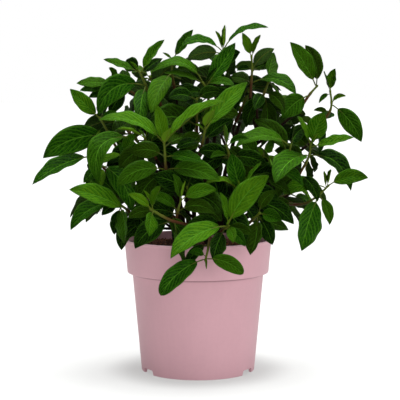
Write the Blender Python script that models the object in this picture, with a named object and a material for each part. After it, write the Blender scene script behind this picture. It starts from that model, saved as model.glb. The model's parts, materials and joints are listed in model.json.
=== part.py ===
"""A leafy young hydrangea in a pink plastic nursery pot, as separate solids.

The origin is on the pot's axis, at the level that the pot stands on. Sizes
below are in millimetres, and every mesh is scaled to metres when it is made.

The plant is built the way it grows: woody canes rise from the compost and fork,
and each branch carries a green shoot with pairs of leaves. The shoots that face
the front are set out by hand. The others follow the same rule as the living
plant, with each pair of leaves at a right angle to the pair below it.
"""

import math

import bmesh
import bpy
from mathutils import Matrix, Vector
from mathutils.bvhtree import BVHTree

MM = 0.001
UP = Vector((0, 0, 1))
FRONT = Vector((0, -1, 0))
GAP = 0.3

# Pot
POT_HEIGHT = 170
RIM_RADIUS = 95
COLLAR_FOOT_RADIUS = 91
COLLAR_FOOT_HEIGHT = 127
BODY_TOP_RADIUS = 84.5
BASE_RADIUS = 73
WALL = 1.9
FLOOR_LOW = 8
FLOOR_HIGH = 9.8
POT_SEGMENTS = 44
NOTCH_WIDTH = 26
NOTCH_TOP_WIDTH = 21
NOTCH_HEIGHT = 6.4
NOTCH_ANGLES = (-150, -30, 90)
DRAIN_RADIUS = 6
DRAIN_RINGS = ((56, (-150, -30, 90)), (34, (-90, 30, 150)))

# Compost
SOIL_EDGE_HEIGHT = 160
SOIL_CROWN_HEIGHT = 165
SOIL_SEGMENTS = 28

# Canes: angle of the foot, its radius, radius and height of the top
CANE_FOOT_HEIGHT = 146
CANE_FOOT_SIZE = 3.4
CANE_TOP_SIZE = 2.2
BRANCH_SIZE = 1.9
CANE_SIDES = 7
BRANCH_SIDES = 5
LOWEST_FORK = 182
BRANCH_SAG = 2
BEND_STEP = 3.5
BEND_STEPS = 30
GOLDEN_ANGLE = math.radians(137.5)
SOIL_LINE_RISE = 6
CANE_BEND = 0.38
CANE_BEND_HEIGHT = 0.58
FORK_TRIES = 4
FORK_DROP = 10
FORK_SLANT = 0.7
FORK_BELOW_TOP = 1
BRANCH_LEAD = 9
CANES = (
    (0, 26, 78, 300),
    (38, 30, 70, 318),
    (74, 22, 58, 338),
    (112, 32, 66, 322),
    (150, 24, 74, 306),
    (186, 30, 72, 318),
    (224, 22, 58, 282),
    (262, 34, 44, 262),
    (300, 26, 56, 284),
    (335, 12, 30, 340),
)

# Shoots
STEM_BASE_SIZE = 1.9
STEM_TIP_SIZE = 1.3
PETIOLE_SIZE = 1.1
STALK_ROOT = 0.5
FIRST_PAIR_DROP = 2.2
PAIR_DROP = 2.4
BLADE_THICKNESS = 1.2
SECTION = 3
YOUNG_LENGTH = 34
OUTLINE_RISE = 0.75
OUTLINE_FALL = 0.95
CLEARANCE = 0.5
DEPTH_STEP = 5
DEPTH_STEPS = 9
SHORTEST_LEAF = 0.6
WIDTH_SHARE = 0.36
YOUNG_WIDTH_SHARE = 0.22
HANGING = -0.92
STALK_LENGTH = 10
LONGEST_STALK = 0.16
SECTION_SPREAD = math.cos(math.radians(30))
STATIONS = (0.26, 0.66)
YOUNG_STATIONS = (0.34,)

# Each shoot: its joints from base to tip, then its leaves. A leaf has the joint
# that it grows from, the place of its tip, the width that it shows to the front
# (negative where it shows its underside) and how far it arches, as a share of
# its length.
FRONT_SHOOTS = {
    "left_crown": (
        ((-56, -4, 338), (-61, -5, 351), (-67, -6, 367), (-75, -8, 384)),
        (
            (3, -119, -20, 398, 11, 0.02), (3, -92, 6, 398, 20, 0.05),
            (3, -42, -14, 423, 15, 0.03), (3, -86, -14, 396, 4, 0.05),
            (3, -45, 6, 400, 12, 0.06), (2, -125, -34, 328, 31, 0.28),
            (2, -72, -50, 315, 22, 0.1), (1, -34, 18, 372, 18, 0.1),
        ),
    ),
    "left_outer": (
        ((-70, 2, 346), (-90, -6, 361), (-106, -14, 370)),
        (
            (2, -112, -20, 388, 12, 0.1), (2, -153, -22, 368, 13, 0.06),
            (2, -149, -34, 359, 13, 0.06), (1, -112, -14, 328, 18, 0.12),
            (1, -98, 26, 386, 14, 0.1), (1, -138, -14, 350, 18, 0.1),
        ),
    ),
    "left_brown_stem": (
        ((-100, -14, 280), (-112, -18, 303), (-124, -22, 325)),
        (
            (2, -160, -34, 361, 20, 0.02), (2, -98, -26, 328, 14, 0.08),
            (2, -122, 14, 350, 12, 0.06), (1, -195, -30, 274, 34, 0.09),
            (1, -84, 18, 318, 20, 0.1), (1, -86, 0, 282, 22, 0.1),
        ),
    ),
    "left_edge": (
        ((-110, -16, 252), (-125, -24, 267), (-133, -28, 278)),
        (
            (2, -208, -36, 241, 18, 0.1), (2, -122, -38, 310, 13, 0.05),
            (2, -138, 12, 250, 16, 0.1), (1, -82, -62, 210, 22, 0.12),
            (1, -143, -44, 244, 14, 0.06), (1, -121, -46, 238, 6, 0.04),
            (1, -146, 10, 222, 18, 0.15), (1, -94, -4, 256, 22, 0.1),
        ),
    ),
    "left_arch": (
        ((-66, -32, 280), (-72, -34, 290), (-78, -36, 301)),
        (
            (2, -122, -62, 243, 19, 0.4), (2, -60, -4, 332, 14, 0.1),
            (2, -86, -44, 320, 6, 0.05), (1, -40, -50, 312, 14, 0.1),
            (1, -112, -14, 268, 24, 0.14), (1, -34, -14, 266, 22, 0.12),
            (2, -34, -20, 288, 22, 0.08),
        ),
    ),
    "front_upper": (
        ((-34, -66, 238), (-39, -75, 264), (-40, -79, 280), (-41, -81, 296)),
        (
            (3, -120, -96, 323, 17, 0.19), (3, 32, -92, 346, 14, 0.1),
            (3, -51, -86, 342, 19, 0.05), (3, -33, -112, 314, 12, 0.1),
            (2, 7, -104, 272, 16, 0.12), (1, -98, -100, 243, 24, 0.12),
            (1, 27, -104, 251, 24, 0.14), (2, -84, -66, 282, 22, 0.14),
            (1, -76, -58, 214, 24, 0.14), (1, 14, -60, 212, 24, 0.14),
            (3, -8, -36, 300, 22, 0.12), (1, -36, -30, 200, 24, 0.1),
        ),
    ),
    "front_bud": (
        ((-52, -44, 274), (-61, -51, 289), (-66, -55, 301)),
        (
            (2, -98, -72, 312, 5, 0.12), (2, -62, -60, 310, 3, 0.05),
            (2, -73, -58, 311, 3, 0.05), (1, -34, -38, 324, 14, 0.1),
            (1, -98, -38, 262, 24, 0.14), (1, -20, -34, 262, 20, 0.14),
            (1, -58, -20, 256, 22, 0.1),
        ),
    ),
    "centre_bud": (
        ((2, -60, 280), (6, -66, 297), (9, -70, 313)),
        (
            (2, 10, -82, 332, 4, 0.05), (2, 20, -86, 336, 5, 0.06),
            (2, -3, -84, 318, 6, 0.1), (2, 61, -54, 369, 18, 0.08),
            (1, -26, -92, 288, 14, 0.12), (1, 44, -60, 324, 16, 0.12),
            (1, -34, -36, 250, 22, 0.12), (1, 50, -40, 258, 22, 0.12),
            (1, -26, -10, 286, 24, 0.12), (2, 40, -10, 296, 22, 0.12),
            (2, -16, -30, 284, 24, 0.1),
        ),
    ),
    "centre_right": (
        ((40, -66, 264), (38, -72, 280), (35, -76, 292)),
        (
            (2, 33, -84, 318, 16, 0.05), (2, 62, -92, 300, 9, 0.15),
            (1, 15, -92, 277, 9, 0.12), (1, 84, -72, 268, 22, 0.12),
            (1, 66, -48, 226, 24, 0.12), (1, 4, -36, 262, 24, 0.12),
            (1, 50, -30, 244, 24, 0.1), (1, 0, -40, 284, 20, 0.1),
        ),
    ),
    "lower_right_young": (
        ((50, -74, 212), (51, -80, 225), (52, -86, 236)),
        (
            (2, 6, -98, 244, 6, 0.25), (2, 40, -90, 283, 24, 0.05),
            (2, 77, -96, 273, 9, 0.08), (2, 49, -93, 251, 4, 0.05),
            (1, 98, -80, 228, 24, 0.14), (1, 8, -66, 202, 22, 0.12),
            (1, 74, -56, 190, 24, 0.12), (1, 34, -54, 184, 24, 0.12),
        ),
    ),
    "front_low_left": (
        ((-12, -90, 196), (-30, -103, 202), (-42, -108, 208), (-50, -110, 213), (-57, -112, 217)),
        (
            (4, -83, -118, 236, 12, 0.08), (4, -44, -122, 246, 14, 0.06),
            (4, -65, -115, 240, 3, 0.05), (4, -57, -130, 186, 22, 0.2),
            (1, -14, -114, 146, 26, 0.06), (2, -16, -110, 170, 20, 0.12),
            (3, -84, -104, 205, 14, 0.15), (1, -76, -100, 168, 26, 0.14),
        ),
    ),
    "front_low_centre": (
        ((-27, -84, 200), (-24, -91, 214), (-20, -97, 228)),
        (
            (2, -15, -104, 251, 4, 0.05), (2, 23, -113, 240, 18, 0.12),
            (2, -30, -104, 259, 17, 0.05), (1, 21, -110, 211, 18, 0.14),
            (1, -58, -92, 232, 12, 0.12), (1, -2, -76, 184, 24, 0.12),
            (1, -50, -66, 192, 24, 0.12), (1, -72, -44, 208, 22, 0.08),
        ),
    ),
    "front_low_right": (
        ((28, -84, 188), (33, -99, 193), (37, -110, 197)),
        (
            (2, -32, -147, 162, 24, 0.12), (2, 26, -122, 238, 17, 0.05),
            (2, 85, -118, 258, 30, 0.06), (2, 42, -128, 178, 13, 0.1),
            (2, 38, -116, 206, 4, 0.05), (1, 57, -112, 172, 15, 0.12),
            (1, 18, -116, 156, 24, 0.1), (1, 66, -108, 186, 14, 0.14),
            (1, -14, -62, 196, 22, 0.1),
        ),
    ),
    "over_rim": (
        ((15, -96, 190), (13, -111, 173), (9, -119, 156)),
        (
            (2, -44, -128, 116, 20, 0.1), (2, 54, -128, 141, 19, 0.1),
            (2, -10, -130, 167, 10, 0.12), (2, 10, -128, 147, 4, 0.05),
            (1, -13, -112, 149, 13, 0.1),
        ),
    ),
    "right_low": (
        ((60, -76, 194), (68, -86, 203), (75, -94, 211)),
        (
            (2, 101, -106, 203, 17, 0.12), (2, 96, -92, 238, 14, 0.1),
            (1, 110, -94, 190, 15, 0.05), (2, 63, -112, 161, 28, 0.1),
            (1, 50, -80, 182, 20, 0.1), (2, 90, -104, 173, 20, 0.1),
        ),
    ),
    "top_arch": (
        ((12, -20, 334), (13, -24, 356), (6, -27, 369)),
        (
            (2, -58, -36, 381, 14, 0.34), (2, -42, -46, 380, 12, 0.1),
            (2, 24, -32, 388, 5, 0.06), (2, 46, -44, 364, 12, 0.16),
            (1, -30, -50, 350, 18, 0.12), (1, 42, -12, 346, 18, 0.12),
            (2, 47, -22, 419, 21, 0.04), (1, -10, -20, 302, 24, 0.1),
        ),
    ),
    "top_left_tip": (
        ((-28, 6, 350), (-31, 5, 367), (-33, 3, 383), (-32, 1, 400)),
        (
            (3, -6, -6, 436, 15, 0.04), (3, -45, -6, 407, 4, 0.06),
            (2, -58, -46, 330, 12, 0.14), (2, 2, -14, 386, 14, 0.12),
            (1, -58, -14, 354, 18, 0.14), (1, 0, -30, 344, 18, 0.14),
        ),
    ),
    "top_rosette": (
        ((22, 2, 368), (28, 0, 390), (33, -2, 412)),
        (
            (2, 89, -14, 438, 9, 0.2), (2, 34, -8, 442, 12, 0.03),
            (2, 22, -10, 434, 8, 0.06), (2, -21, -10, 415, 12, 0.2),
            (2, -14, -18, 398, -20, 0.14), (1, 54, 4, 408, 18, 0.1),
            (1, 24, 44, 404, 18, 0.12),
        ),
    ),
    "top_right_tip": (
        ((67, 0, 350), (68, -1, 370), (69, -2, 387), (68, -2, 403)),
        (
            (3, 56, -8, 432, 14, 0.05), (3, 79, -6, 429, 12, 0.05),
            (2, 97, -4, 412, -17, 0.05), (2, 49, -16, 384, 9, 0.1),
            (2, 100, 16, 392, 14, 0.1), (1, 123, -30, 354, 15, 0.2),
            (1, 40, 20, 376, 18, 0.12), (1, 38, 14, 292, 24, 0.08),
        ),
    ),
    "right_crown": (
        ((78, -14, 342), (85, -9, 358), (90, -6, 371)),
        (
            (2, 98, -8, 408, 24, 0.02), (2, 110, 20, 344, 18, 0.1),
            (1, 108, -34, 332, 16, 0.12), (1, 70, -36, 334, 16, 0.12),
            (1, 62, -4, 312, 20, 0.1), (1, 82, 16, 288, 24, 0.1),
        ),
    ),
    "right_top_pair": (
        ((133, -7, 341), (143, -4, 355), (152, -2, 365)),
        (
            (2, 116, -14, 420, 24, 0.04), (2, 137, 8, 417, 22, 0.16),
            (1, 106, -22, 324, 28, 0.1),
        ),
    ),
    "right_outer": (
        ((152, 0, 303), (161, -4, 321), (168, -6, 333), (170, -6, 344), (168, -6, 359)),
        (
            (4, 174, -10, 387, 15, 0.06),
            (4, 158, -14, 384, 14, 0.06), (4, 153, -15, 343, 6, 0.2),
            (3, 207, -18, 294, 24, 0.1), (3, 187, -18, 352, 7, 0.15),
            (2, 146, -16, 334, 7, 0.12), (1, 152, -26, 279, 18, 0.1),
            (1, 176, 28, 330, 16, 0.12),
        ),
    ),
    "right_middle": (
        ((119, -15, 234), (129, -18, 254), (137, -20, 268), (141, -22, 279), (142, -26, 292)),
        (
            (4, 158, -28, 332, 26, 0.05), (4, 123, -28, 327, 20, 0.04),
            (4, 150, -26, 306, 6, 0.05), (4, 194, -28, 301, 15, 0.04),
            (3, 93, -70, 247, 28, 0.12), (3, 197, 4, 230, 26, 0.22),
            (3, 142, 2, 240, 22, 0.1),
            (1, 150, -40, 220, 14, 0.12), (1, 98, -30, 222, 16, 0.12),
            (4, 110, -4, 308, 20, 0.1), (2, 98, 4, 282, 24, 0.1),
            (4, 166, 12, 274, 18, 0.1), (4, 150, 6, 254, 20, 0.08),
        ),
    ),
    "right_low_spray": (
        ((112, -10, 216), (125, -12, 214), (140, -14, 217), (155, -16, 228), (166, -18, 239)),
        (
            (4, 213, -42, 250, 20, 0.08), (4, 168, -27, 260, 10, 0.05),
            (4, 159, -26, 258, 8, 0.05), (4, 107, -46, 229, 19, 0.12),
            (3, 130, -42, 158, 40, 0.06), (3, 168, -14, 188, 14, 0.12),
            (1, 87, -38, 206, 20, 0.14), (2, 150, 24, 196, 18, 0.16),
        ),
    ),
    "right_bright_arch": (
        ((108, -38, 264), (113, -40, 278), (116, -42, 291)),
        (
            (2, 46, -64, 289, 18, 0.22), (2, 120, -50, 318, 9, 0.08),
            (1, 70, -26, 322, 22, 0.12), (1, 130, 4, 256, 20, 0.14),
            (1, 66, -24, 250, 24, 0.12), (2, 138, -16, 314, 18, 0.1),
        ),
    ),
    "left_low": (
        ((-77, -50, 199), (-88, -54, 211), (-100, -58, 221)),
        (
            (1, -156, -76, 239, 27, 0.1), (2, -158, -58, 186, 18, 0.2),
            (2, -118, -76, 206, 13, 0.12), (2, -90, -82, 172, 28, 0.04),
            (1, -104, -32, 250, 18, 0.12), (1, -56, -76, 178, 22, 0.14),
            (1, -89, -66, 174, 24, 0.1), (1, -96, -56, 159, 16, 0.08),
            (2, -142, -40, 254, 20, 0.1), (2, -104, -70, 180, 18, 0.08),
        ),
    ),
}

# Rule-grown shoots: angle round the plant, radius and height of the base, how
# steeply it climbs in degrees, and its turn about its own stem
GROWN_SHOOTS = (
    (12, 92, 214, 20, 20),
    (44, 80, 226, 26, 65),
    (76, 71, 212, 24, 10),
    (108, 60, 228, 28, 50),
    (140, 80, 214, 22, 80),
    (170, 86, 220, 26, 35),
    (26, 98, 292, 42, 70),
    (60, 68, 306, 46, 15),
    (92, 62, 290, 42, 55),
    (124, 50, 306, 46, 40),
    (156, 86, 292, 44, 75),
    (52, 50, 342, 68, 40),
    (100, 52, 338, 66, 85),
    (146, 54, 332, 64, 5),
    (205, 62, 246, 42, 60),
    (330, 58, 244, 44, 30),
    (268, 30, 300, 72, 20),
    (238, 44, 196, 26, 35),
    (262, 52, 214, 34, 60),
    (290, 46, 198, 28, 15),
    (316, 54, 206, 30, 50),
    (20, 52, 318, 66, 50),
)
GROWN_JOINT_STEP = 17
GROWN_PAIRS = ((70, 64), (62, 58), (38, 42))
GROWN_BUD = (16, 22)
GROWN_LOW_PAIR = (58, 52)
GROWN_DROOP = 0.34
GROWN_WIDTH = 0.44
GROWN_ARCH = 0.14
GROWN_FORWARD = 0.5
GROWN_OUTWARD = 0.87
DROOP_RELIEF = 0.6


def clear_scene():
    for item in list(bpy.data.objects):
        bpy.data.objects.remove(item, do_unlink=True)


def plain_material(name, colour, roughness):
    material = bpy.data.materials.new(name)
    material.use_nodes = True
    shader = material.node_tree.nodes["Principled BSDF"]
    shader.inputs["Base Color"].default_value = (*colour, 1)
    shader.inputs["Roughness"].default_value = roughness
    shader.inputs["Metallic"].default_value = 0
    return material


def make_object(name, points, faces, material):
    mesh = bpy.data.meshes.new(name)
    mesh.from_pydata([Vector(p) * MM for p in points], [], faces)
    shape = bmesh.new()
    shape.from_mesh(mesh)
    bmesh.ops.recalc_face_normals(shape, faces=shape.faces)
    shape.to_mesh(mesh)
    shape.free()
    mesh.materials.append(material)
    mesh.shade_smooth()
    mesh.set_sharp_from_angle(angle=math.radians(40))
    item = bpy.data.objects.new(name, mesh)
    bpy.context.scene.collection.objects.link(item)
    return item


def as_hidden_tool(item):
    item.hide_render = True
    item.display_type = "WIRE"


def add_boolean(item, operation, tools, label):
    group = bpy.data.collections.new(item.name + label)
    bpy.context.scene.collection.children.link(group)
    for tool in tools:
        bpy.context.scene.collection.objects.unlink(tool)
        group.objects.link(tool)
        as_hidden_tool(tool)
    modifier = item.modifiers.new(label.strip("_"), "BOOLEAN")
    modifier.operation = operation
    modifier.operand_type = "COLLECTION"
    modifier.collection = group
    modifier.solver = "EXACT"


# ---------------------------------------------------------------- pot and compost


def turned(name, profile, segments, material):
    """Turn a profile that starts and ends on the axis into a closed solid."""
    points = [(0, 0, profile[0][1])]
    faces = []
    rings = []
    for radius, height in profile[1:-1]:
        rings.append(len(points))
        for k in range(segments):
            angle = 2 * math.pi * k / segments
            points.append((radius * math.cos(angle), radius * math.sin(angle), height))
    last = len(points)
    points.append((0, 0, profile[-1][1]))
    for k in range(segments):
        after = (k + 1) % segments
        faces.append((0, rings[0] + after, rings[0] + k))
        faces.append((last, rings[-1] + k, rings[-1] + after))
        for low, high in zip(rings, rings[1:]):
            faces.append((low + k, low + after, high + after, high + k))
    return make_object(name, points, faces, material)


def pot_profile():
    inner_base = BASE_RADIUS - WALL
    return (
        (0, FLOOR_LOW),
        (inner_base - 2.6, FLOOR_LOW),
        (inner_base - 1.6, 0),
        (BASE_RADIUS - 0.6, 0),
        (BASE_RADIUS, 0.8),
        (BODY_TOP_RADIUS, COLLAR_FOOT_HEIGHT - 2.2),
        (COLLAR_FOOT_RADIUS - 1.4, COLLAR_FOOT_HEIGHT - 0.6),
        (COLLAR_FOOT_RADIUS, COLLAR_FOOT_HEIGHT + 1.4),
        (RIM_RADIUS, POT_HEIGHT - 1),
        (RIM_RADIUS - 0.8, POT_HEIGHT),
        (RIM_RADIUS - WALL, POT_HEIGHT),
        (COLLAR_FOOT_RADIUS - WALL - 0.4, COLLAR_FOOT_HEIGHT + 2.6),
        (BODY_TOP_RADIUS - WALL, COLLAR_FOOT_HEIGHT - 1.4),
        (inner_base + 0.9, FLOOR_HIGH + 2),
        (inner_base - 1, FLOOR_HIGH),
        (0, FLOOR_HIGH),
    )


def prism(name, outline, low, high, material):
    """A straight prism over an outline of (x, y) points."""
    count = len(outline)
    points = [(x, y, low) for x, y in outline]
    points += [(x, y, high) for x, y in outline]
    faces = [tuple(range(count)), tuple(range(count, 2 * count))]
    for k in range(count):
        after = (k + 1) % count
        faces.append((k, after, count + after, count + k))
    return make_object(name, points, faces, material)


def notch_cutter(index, angle, material):
    """A wedge that opens the foot ring, narrower at its top."""
    inner, outer, below = 60, 84, -3
    points = []
    for radius in (inner, outer):
        points.append((radius, -NOTCH_WIDTH / 2, below))
        points.append((radius, NOTCH_WIDTH / 2, below))
        points.append((radius, NOTCH_TOP_WIDTH / 2, NOTCH_HEIGHT))
        points.append((radius, -NOTCH_TOP_WIDTH / 2, NOTCH_HEIGHT))
    turn = Matrix.Rotation(math.radians(angle), 3, "Z")
    points = [turn @ Vector(p) for p in points]
    faces = [(0, 1, 2, 3), (4, 5, 6, 7)]
    faces += [(k, (k + 1) % 4, 4 + (k + 1) % 4, 4 + k) for k in range(4)]
    return make_object(f"notch_cutter_{index}", points, faces, material)


def drain_cutter(index, radius, angle, material):
    sides = 8
    centre = Matrix.Rotation(math.radians(angle), 3, "Z") @ Vector((radius, 0, 0))
    outline = []
    for k in range(sides):
        turn = 2 * math.pi * k / sides
        outline.append(
            (centre.x + DRAIN_RADIUS * math.cos(turn), centre.y + DRAIN_RADIUS * math.sin(turn))
        )
    return prism(f"drain_cutter_{index}", outline, FLOOR_LOW - 3, FLOOR_HIGH + 3, material)


def make_pot(material):
    pot = turned("pot", pot_profile(), POT_SEGMENTS, material)
    tools = [notch_cutter(k, angle, material) for k, angle in enumerate(NOTCH_ANGLES)]
    for ring, (radius, angles) in enumerate(DRAIN_RINGS):
        for k, angle in enumerate(angles):
            tools.append(drain_cutter(f"{ring}_{k}", radius, angle, material))
    add_boolean(pot, "DIFFERENCE", tools, "_openings")
    return pot


def make_soil(material, sockets):
    inner_base = BASE_RADIUS - WALL
    profile = (
        (0, FLOOR_HIGH + GAP),
        (inner_base - 1.4, FLOOR_HIGH + GAP),
        (inner_base + 0.4, FLOOR_HIGH + 2.4),
        (BODY_TOP_RADIUS - WALL - 0.6, COLLAR_FOOT_HEIGHT - 1.4),
        (COLLAR_FOOT_RADIUS - WALL - 1.2, COLLAR_FOOT_HEIGHT + 4.4),
        (COLLAR_FOOT_RADIUS + 0.6, SOIL_EDGE_HEIGHT),
        (60, SOIL_EDGE_HEIGHT + 3.5),
        (0, SOIL_CROWN_HEIGHT),
    )
    soil = turned("potting_soil", profile, SOIL_SEGMENTS, material)
    add_boolean(soil, "DIFFERENCE", sockets, "_sockets")
    return soil


# ---------------------------------------------------------------- tubes


def smooth_path(points, steps):
    """Points on a Catmull-Rom curve through the given ones."""
    if len(points) < 3 or steps < 2:
        return points
    padded = [points[0] * 2 - points[1], *points, points[-1] * 2 - points[-2]]
    result = []
    for a, b, c, d in zip(padded, padded[1:], padded[2:], padded[3:]):
        for k in range(steps):
            t = k / steps
            value = b * 2 + (c - a) * t
            value += (a * 2 - b * 5 + c * 4 - d) * t * t
            value += (b * 3 - a - c * 3 + d) * t * t * t
            result.append(value / 2)
    result.append(points[-1])
    return result


def tube_shape(points, first_size, last_size, sides):
    """Points and faces of a tapering tube with flat, closed ends."""
    count = len(points)
    spots = []
    faces = []
    across = None
    for k, point in enumerate(points):
        before = points[max(k - 1, 0)]
        after = points[min(k + 1, count - 1)]
        along = (after - before).normalized()
        if across is None:
            across = along.orthogonal().normalized()
        across = (across - along * across.dot(along)).normalized()
        other = along.cross(across)
        size = first_size + (last_size - first_size) * k / (count - 1)
        for s in range(sides):
            turn = 2 * math.pi * s / sides
            spots.append(point + (across * math.cos(turn) + other * math.sin(turn)) * size)
    for k in range(count - 1):
        for s in range(sides):
            after = (s + 1) % sides
            low, high = k * sides, (k + 1) * sides
            faces.append((low + s, low + after, high + after, high + s))
    faces.append(tuple(reversed(range(sides))))
    faces.append(tuple(range((count - 1) * sides, count * sides)))
    return spots, faces


def tree_of(shape):
    points, faces = shape
    return BVHTree.FromPolygons([tuple(p) for p in points], faces, all_triangles=False)


def is_free(shape, others):
    tree = tree_of(shape)
    return not any(tree.overlap(other) for other in others)


# ---------------------------------------------------------------- leaves


def half_width(position):
    """Half a leaf's width, as a share of the widest, from its base to its tip."""
    widest = OUTLINE_RISE / (OUTLINE_RISE + OUTLINE_FALL)
    peak = widest**OUTLINE_RISE * (1 - widest) ** OUTLINE_FALL
    return position**OUTLINE_RISE * (1 - position) ** OUTLINE_FALL / peak


def leaf_axes(base, tip, width, facing):
    """The leaf's own directions, and its true width."""
    chord = tip - base
    length = chord.length
    along = chord / length
    hint = UP
    outward = Vector((base.x, base.y, 0)).normalized()
    if along.z < HANGING:
        hint = outward
    rise = (hint - along * hint.dot(along)).normalized()
    view = along.cross(rise)
    if view.dot(facing) < 0:
        view = -view
    share = WIDTH_SHARE if length > YOUNG_LENGTH else YOUNG_WIDTH_SHARE
    true_width = max(abs(width), share * length)
    turn = math.asin(min(1, abs(width) / true_width))
    turn *= 1 - along.dot(facing) ** 2
    normal = rise * math.cos(turn) + view * math.copysign(math.sin(turn), width)
    side = along.cross(normal)
    return length, along, rise, normal, side, true_width


def petiole_share(length):
    return min(LONGEST_STALK, STALK_LENGTH / length)


def leaf_shape(base, tip, width, arch, facing, extra=0.0):
    """Points and faces of one leaf with its stalk, as one closed solid."""
    length, along, rise, normal, side, true_width = leaf_axes(base, tip, width, facing)
    stations = YOUNG_STATIONS if length <= YOUNG_LENGTH else STATIONS
    stalk = petiole_share(length)

    def midrib(share):
        return base + along * length * share + rise * 4 * arch * length * share * (1 - share)

    points = []
    for share in (-STALK_ROOT / length, stalk):
        centre = midrib(share)
        size = PETIOLE_SIZE + extra
        spread = side * SECTION_SPREAD * size
        points += [centre - spread + normal * size / 2, centre + spread + normal * size / 2]
        points.append(centre - normal * size)
    for position in stations:
        centre = midrib(stalk + (1 - stalk) * position)
        reach = side * (half_width(position) * true_width / 2 + extra)
        lift = normal * (BLADE_THICKNESS / 3 + extra)
        points += [centre - reach + lift, centre + reach + lift]
        points.append(centre - normal * (BLADE_THICKNESS * 2 / 3 + extra))
    points.append(tip)
    last = len(points) - 1
    faces = [(2, 1, 0)]
    for ring in range(len(stations) + 1):
        low, high = SECTION * ring, SECTION * (ring + 1)
        for s in range(SECTION):
            after = (s + 1) % SECTION
            faces.append((low + s, low + after, high + after))
            faces.append((low + s, high + after, high + s))
    top = last - SECTION
    for s in range(SECTION):
        faces.append((top + s, top + (s + 1) % SECTION, last))
    return points, faces


def blade_tree(shape):
    """The leaf without its stalk, which may touch the stalk beside it."""
    points, faces = shape
    return tree_of((points, faces[1 + 2 * SECTION :]))


def place_leaf(base, tip, width, arch, facing, obstacles, siblings):
    """Move the tip in depth, a step at a time, until the leaf touches nothing.

    A leaf that finds no room is one that the plant didn't grow.
    """
    for step in range(2 * DEPTH_STEPS):
        shift = (step + 1) // 2 * DEPTH_STEP * (-1 if step % 2 else 1)
        moved = tip + Vector((0, shift, 0))
        if (moved - base).length < SHORTEST_LEAF * (tip - base).length:
            continue
        fat = leaf_shape(base, moved, width, arch, facing, CLEARANCE)
        blade = blade_tree(fat)
        if any(blade.overlap(other) for other in siblings):
            continue
        if is_free(fat, obstacles):
            return leaf_shape(base, moved, width, arch, facing)
    return None


def pot_outline():
    """The pot and compost as one plain drum, which the leaves stay clear of."""
    outline = (
        (BASE_RADIUS, 0),
        (BODY_TOP_RADIUS, COLLAR_FOOT_HEIGHT - 1),
        (RIM_RADIUS + 1, COLLAR_FOOT_HEIGHT),
        (RIM_RADIUS + 1, POT_HEIGHT + CLEARANCE),
        (RIM_RADIUS - 4, POT_HEIGHT + CLEARANCE),
        (RIM_RADIUS - 5, SOIL_EDGE_HEIGHT + 1),
    )
    sides = 32
    points = []
    for radius, height in outline:
        for k in range(sides):
            angle = 2 * math.pi * k / sides
            points.append(Vector((radius * math.cos(angle), radius * math.sin(angle), height)))
    faces = []
    for ring in range(len(outline) - 1):
        for k in range(sides):
            after = (k + 1) % sides
            low, high = ring * sides, (ring + 1) * sides
            faces.append((low + k, low + after, high + after, high + k))
    faces.append(tuple(range(len(points) - sides, len(points))))
    return points, faces


# ---------------------------------------------------------------- shoots


def leaf_base(joints, joint, order):
    """Where a leaf leaves its stem: each pair a little below the one before it."""
    below = joints[joint - 1] - joints[joint]
    return joints[joint] + below.normalized() * (FIRST_PAIR_DROP + PAIR_DROP * (order // 2))


def tabled_shoots():
    shoots = []
    for name, (joints, leaves) in FRONT_SHOOTS.items():
        joints = [Vector(p) for p in joints]
        rows = []
        used = []
        for joint, x, y, z, width, arch in leaves:
            base = leaf_base(joints, joint, used.count(joint))
            used.append(joint)
            rows.append((base, Vector((x, y, z)), width, arch, FRONT))
        shoots.append((name, joints, rows))
    return shoots


def grown_leaf(base, axis, outward, turn, length):
    """One leaf of a pair: it leaves the stem at a slant and droops."""
    across = axis.cross(UP).normalized()
    other = axis.cross(across)
    radial = across * math.cos(turn) + other * math.sin(turn)
    tip = base + (axis * GROWN_FORWARD + radial * GROWN_OUTWARD) * length
    tip.z -= GROWN_DROOP * length * (1 - abs(radial.z) * DROOP_RELIEF)
    width = GROWN_WIDTH * length
    return base, tip, width, GROWN_ARCH, outward


def grown_shoots():
    shoots = []
    for index, (angle, radius, height, climb, turn) in enumerate(GROWN_SHOOTS):
        outward = Matrix.Rotation(math.radians(angle), 3, "Z") @ Vector((1, 0, 0))
        axis = outward * math.cos(math.radians(climb)) + UP * math.sin(math.radians(climb))
        base = outward * radius + UP * height
        joints = [base + axis * GROWN_JOINT_STEP * k for k in range(len(GROWN_PAIRS) + 1)]
        rows = []
        for pair, lengths in enumerate((*GROWN_PAIRS, GROWN_BUD)):
            joint = min(pair + 1, len(joints) - 1)
            first = 0 if joint > pair else len(lengths)
            for side, length in enumerate(lengths):
                roll = math.radians(turn + 90 * pair + 180 * side)
                point = leaf_base(joints, joint, first + side)
                rows.append(grown_leaf(point, axis, outward, roll, length))
        for side, length in enumerate(GROWN_LOW_PAIR):
            roll = math.radians(turn + 90 + 180 * side)
            point = leaf_base(joints, 1, 2 + side)
            rows.append(grown_leaf(point, axis, outward, roll, length))
        shoots.append((f"grown_{index + 1:02d}", joints, rows))
    return shoots


def stem_shape(joints):
    return tube_shape(joints, STEM_BASE_SIZE, STEM_TIP_SIZE, BRANCH_SIDES)


# ---------------------------------------------------------------- canes


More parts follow.
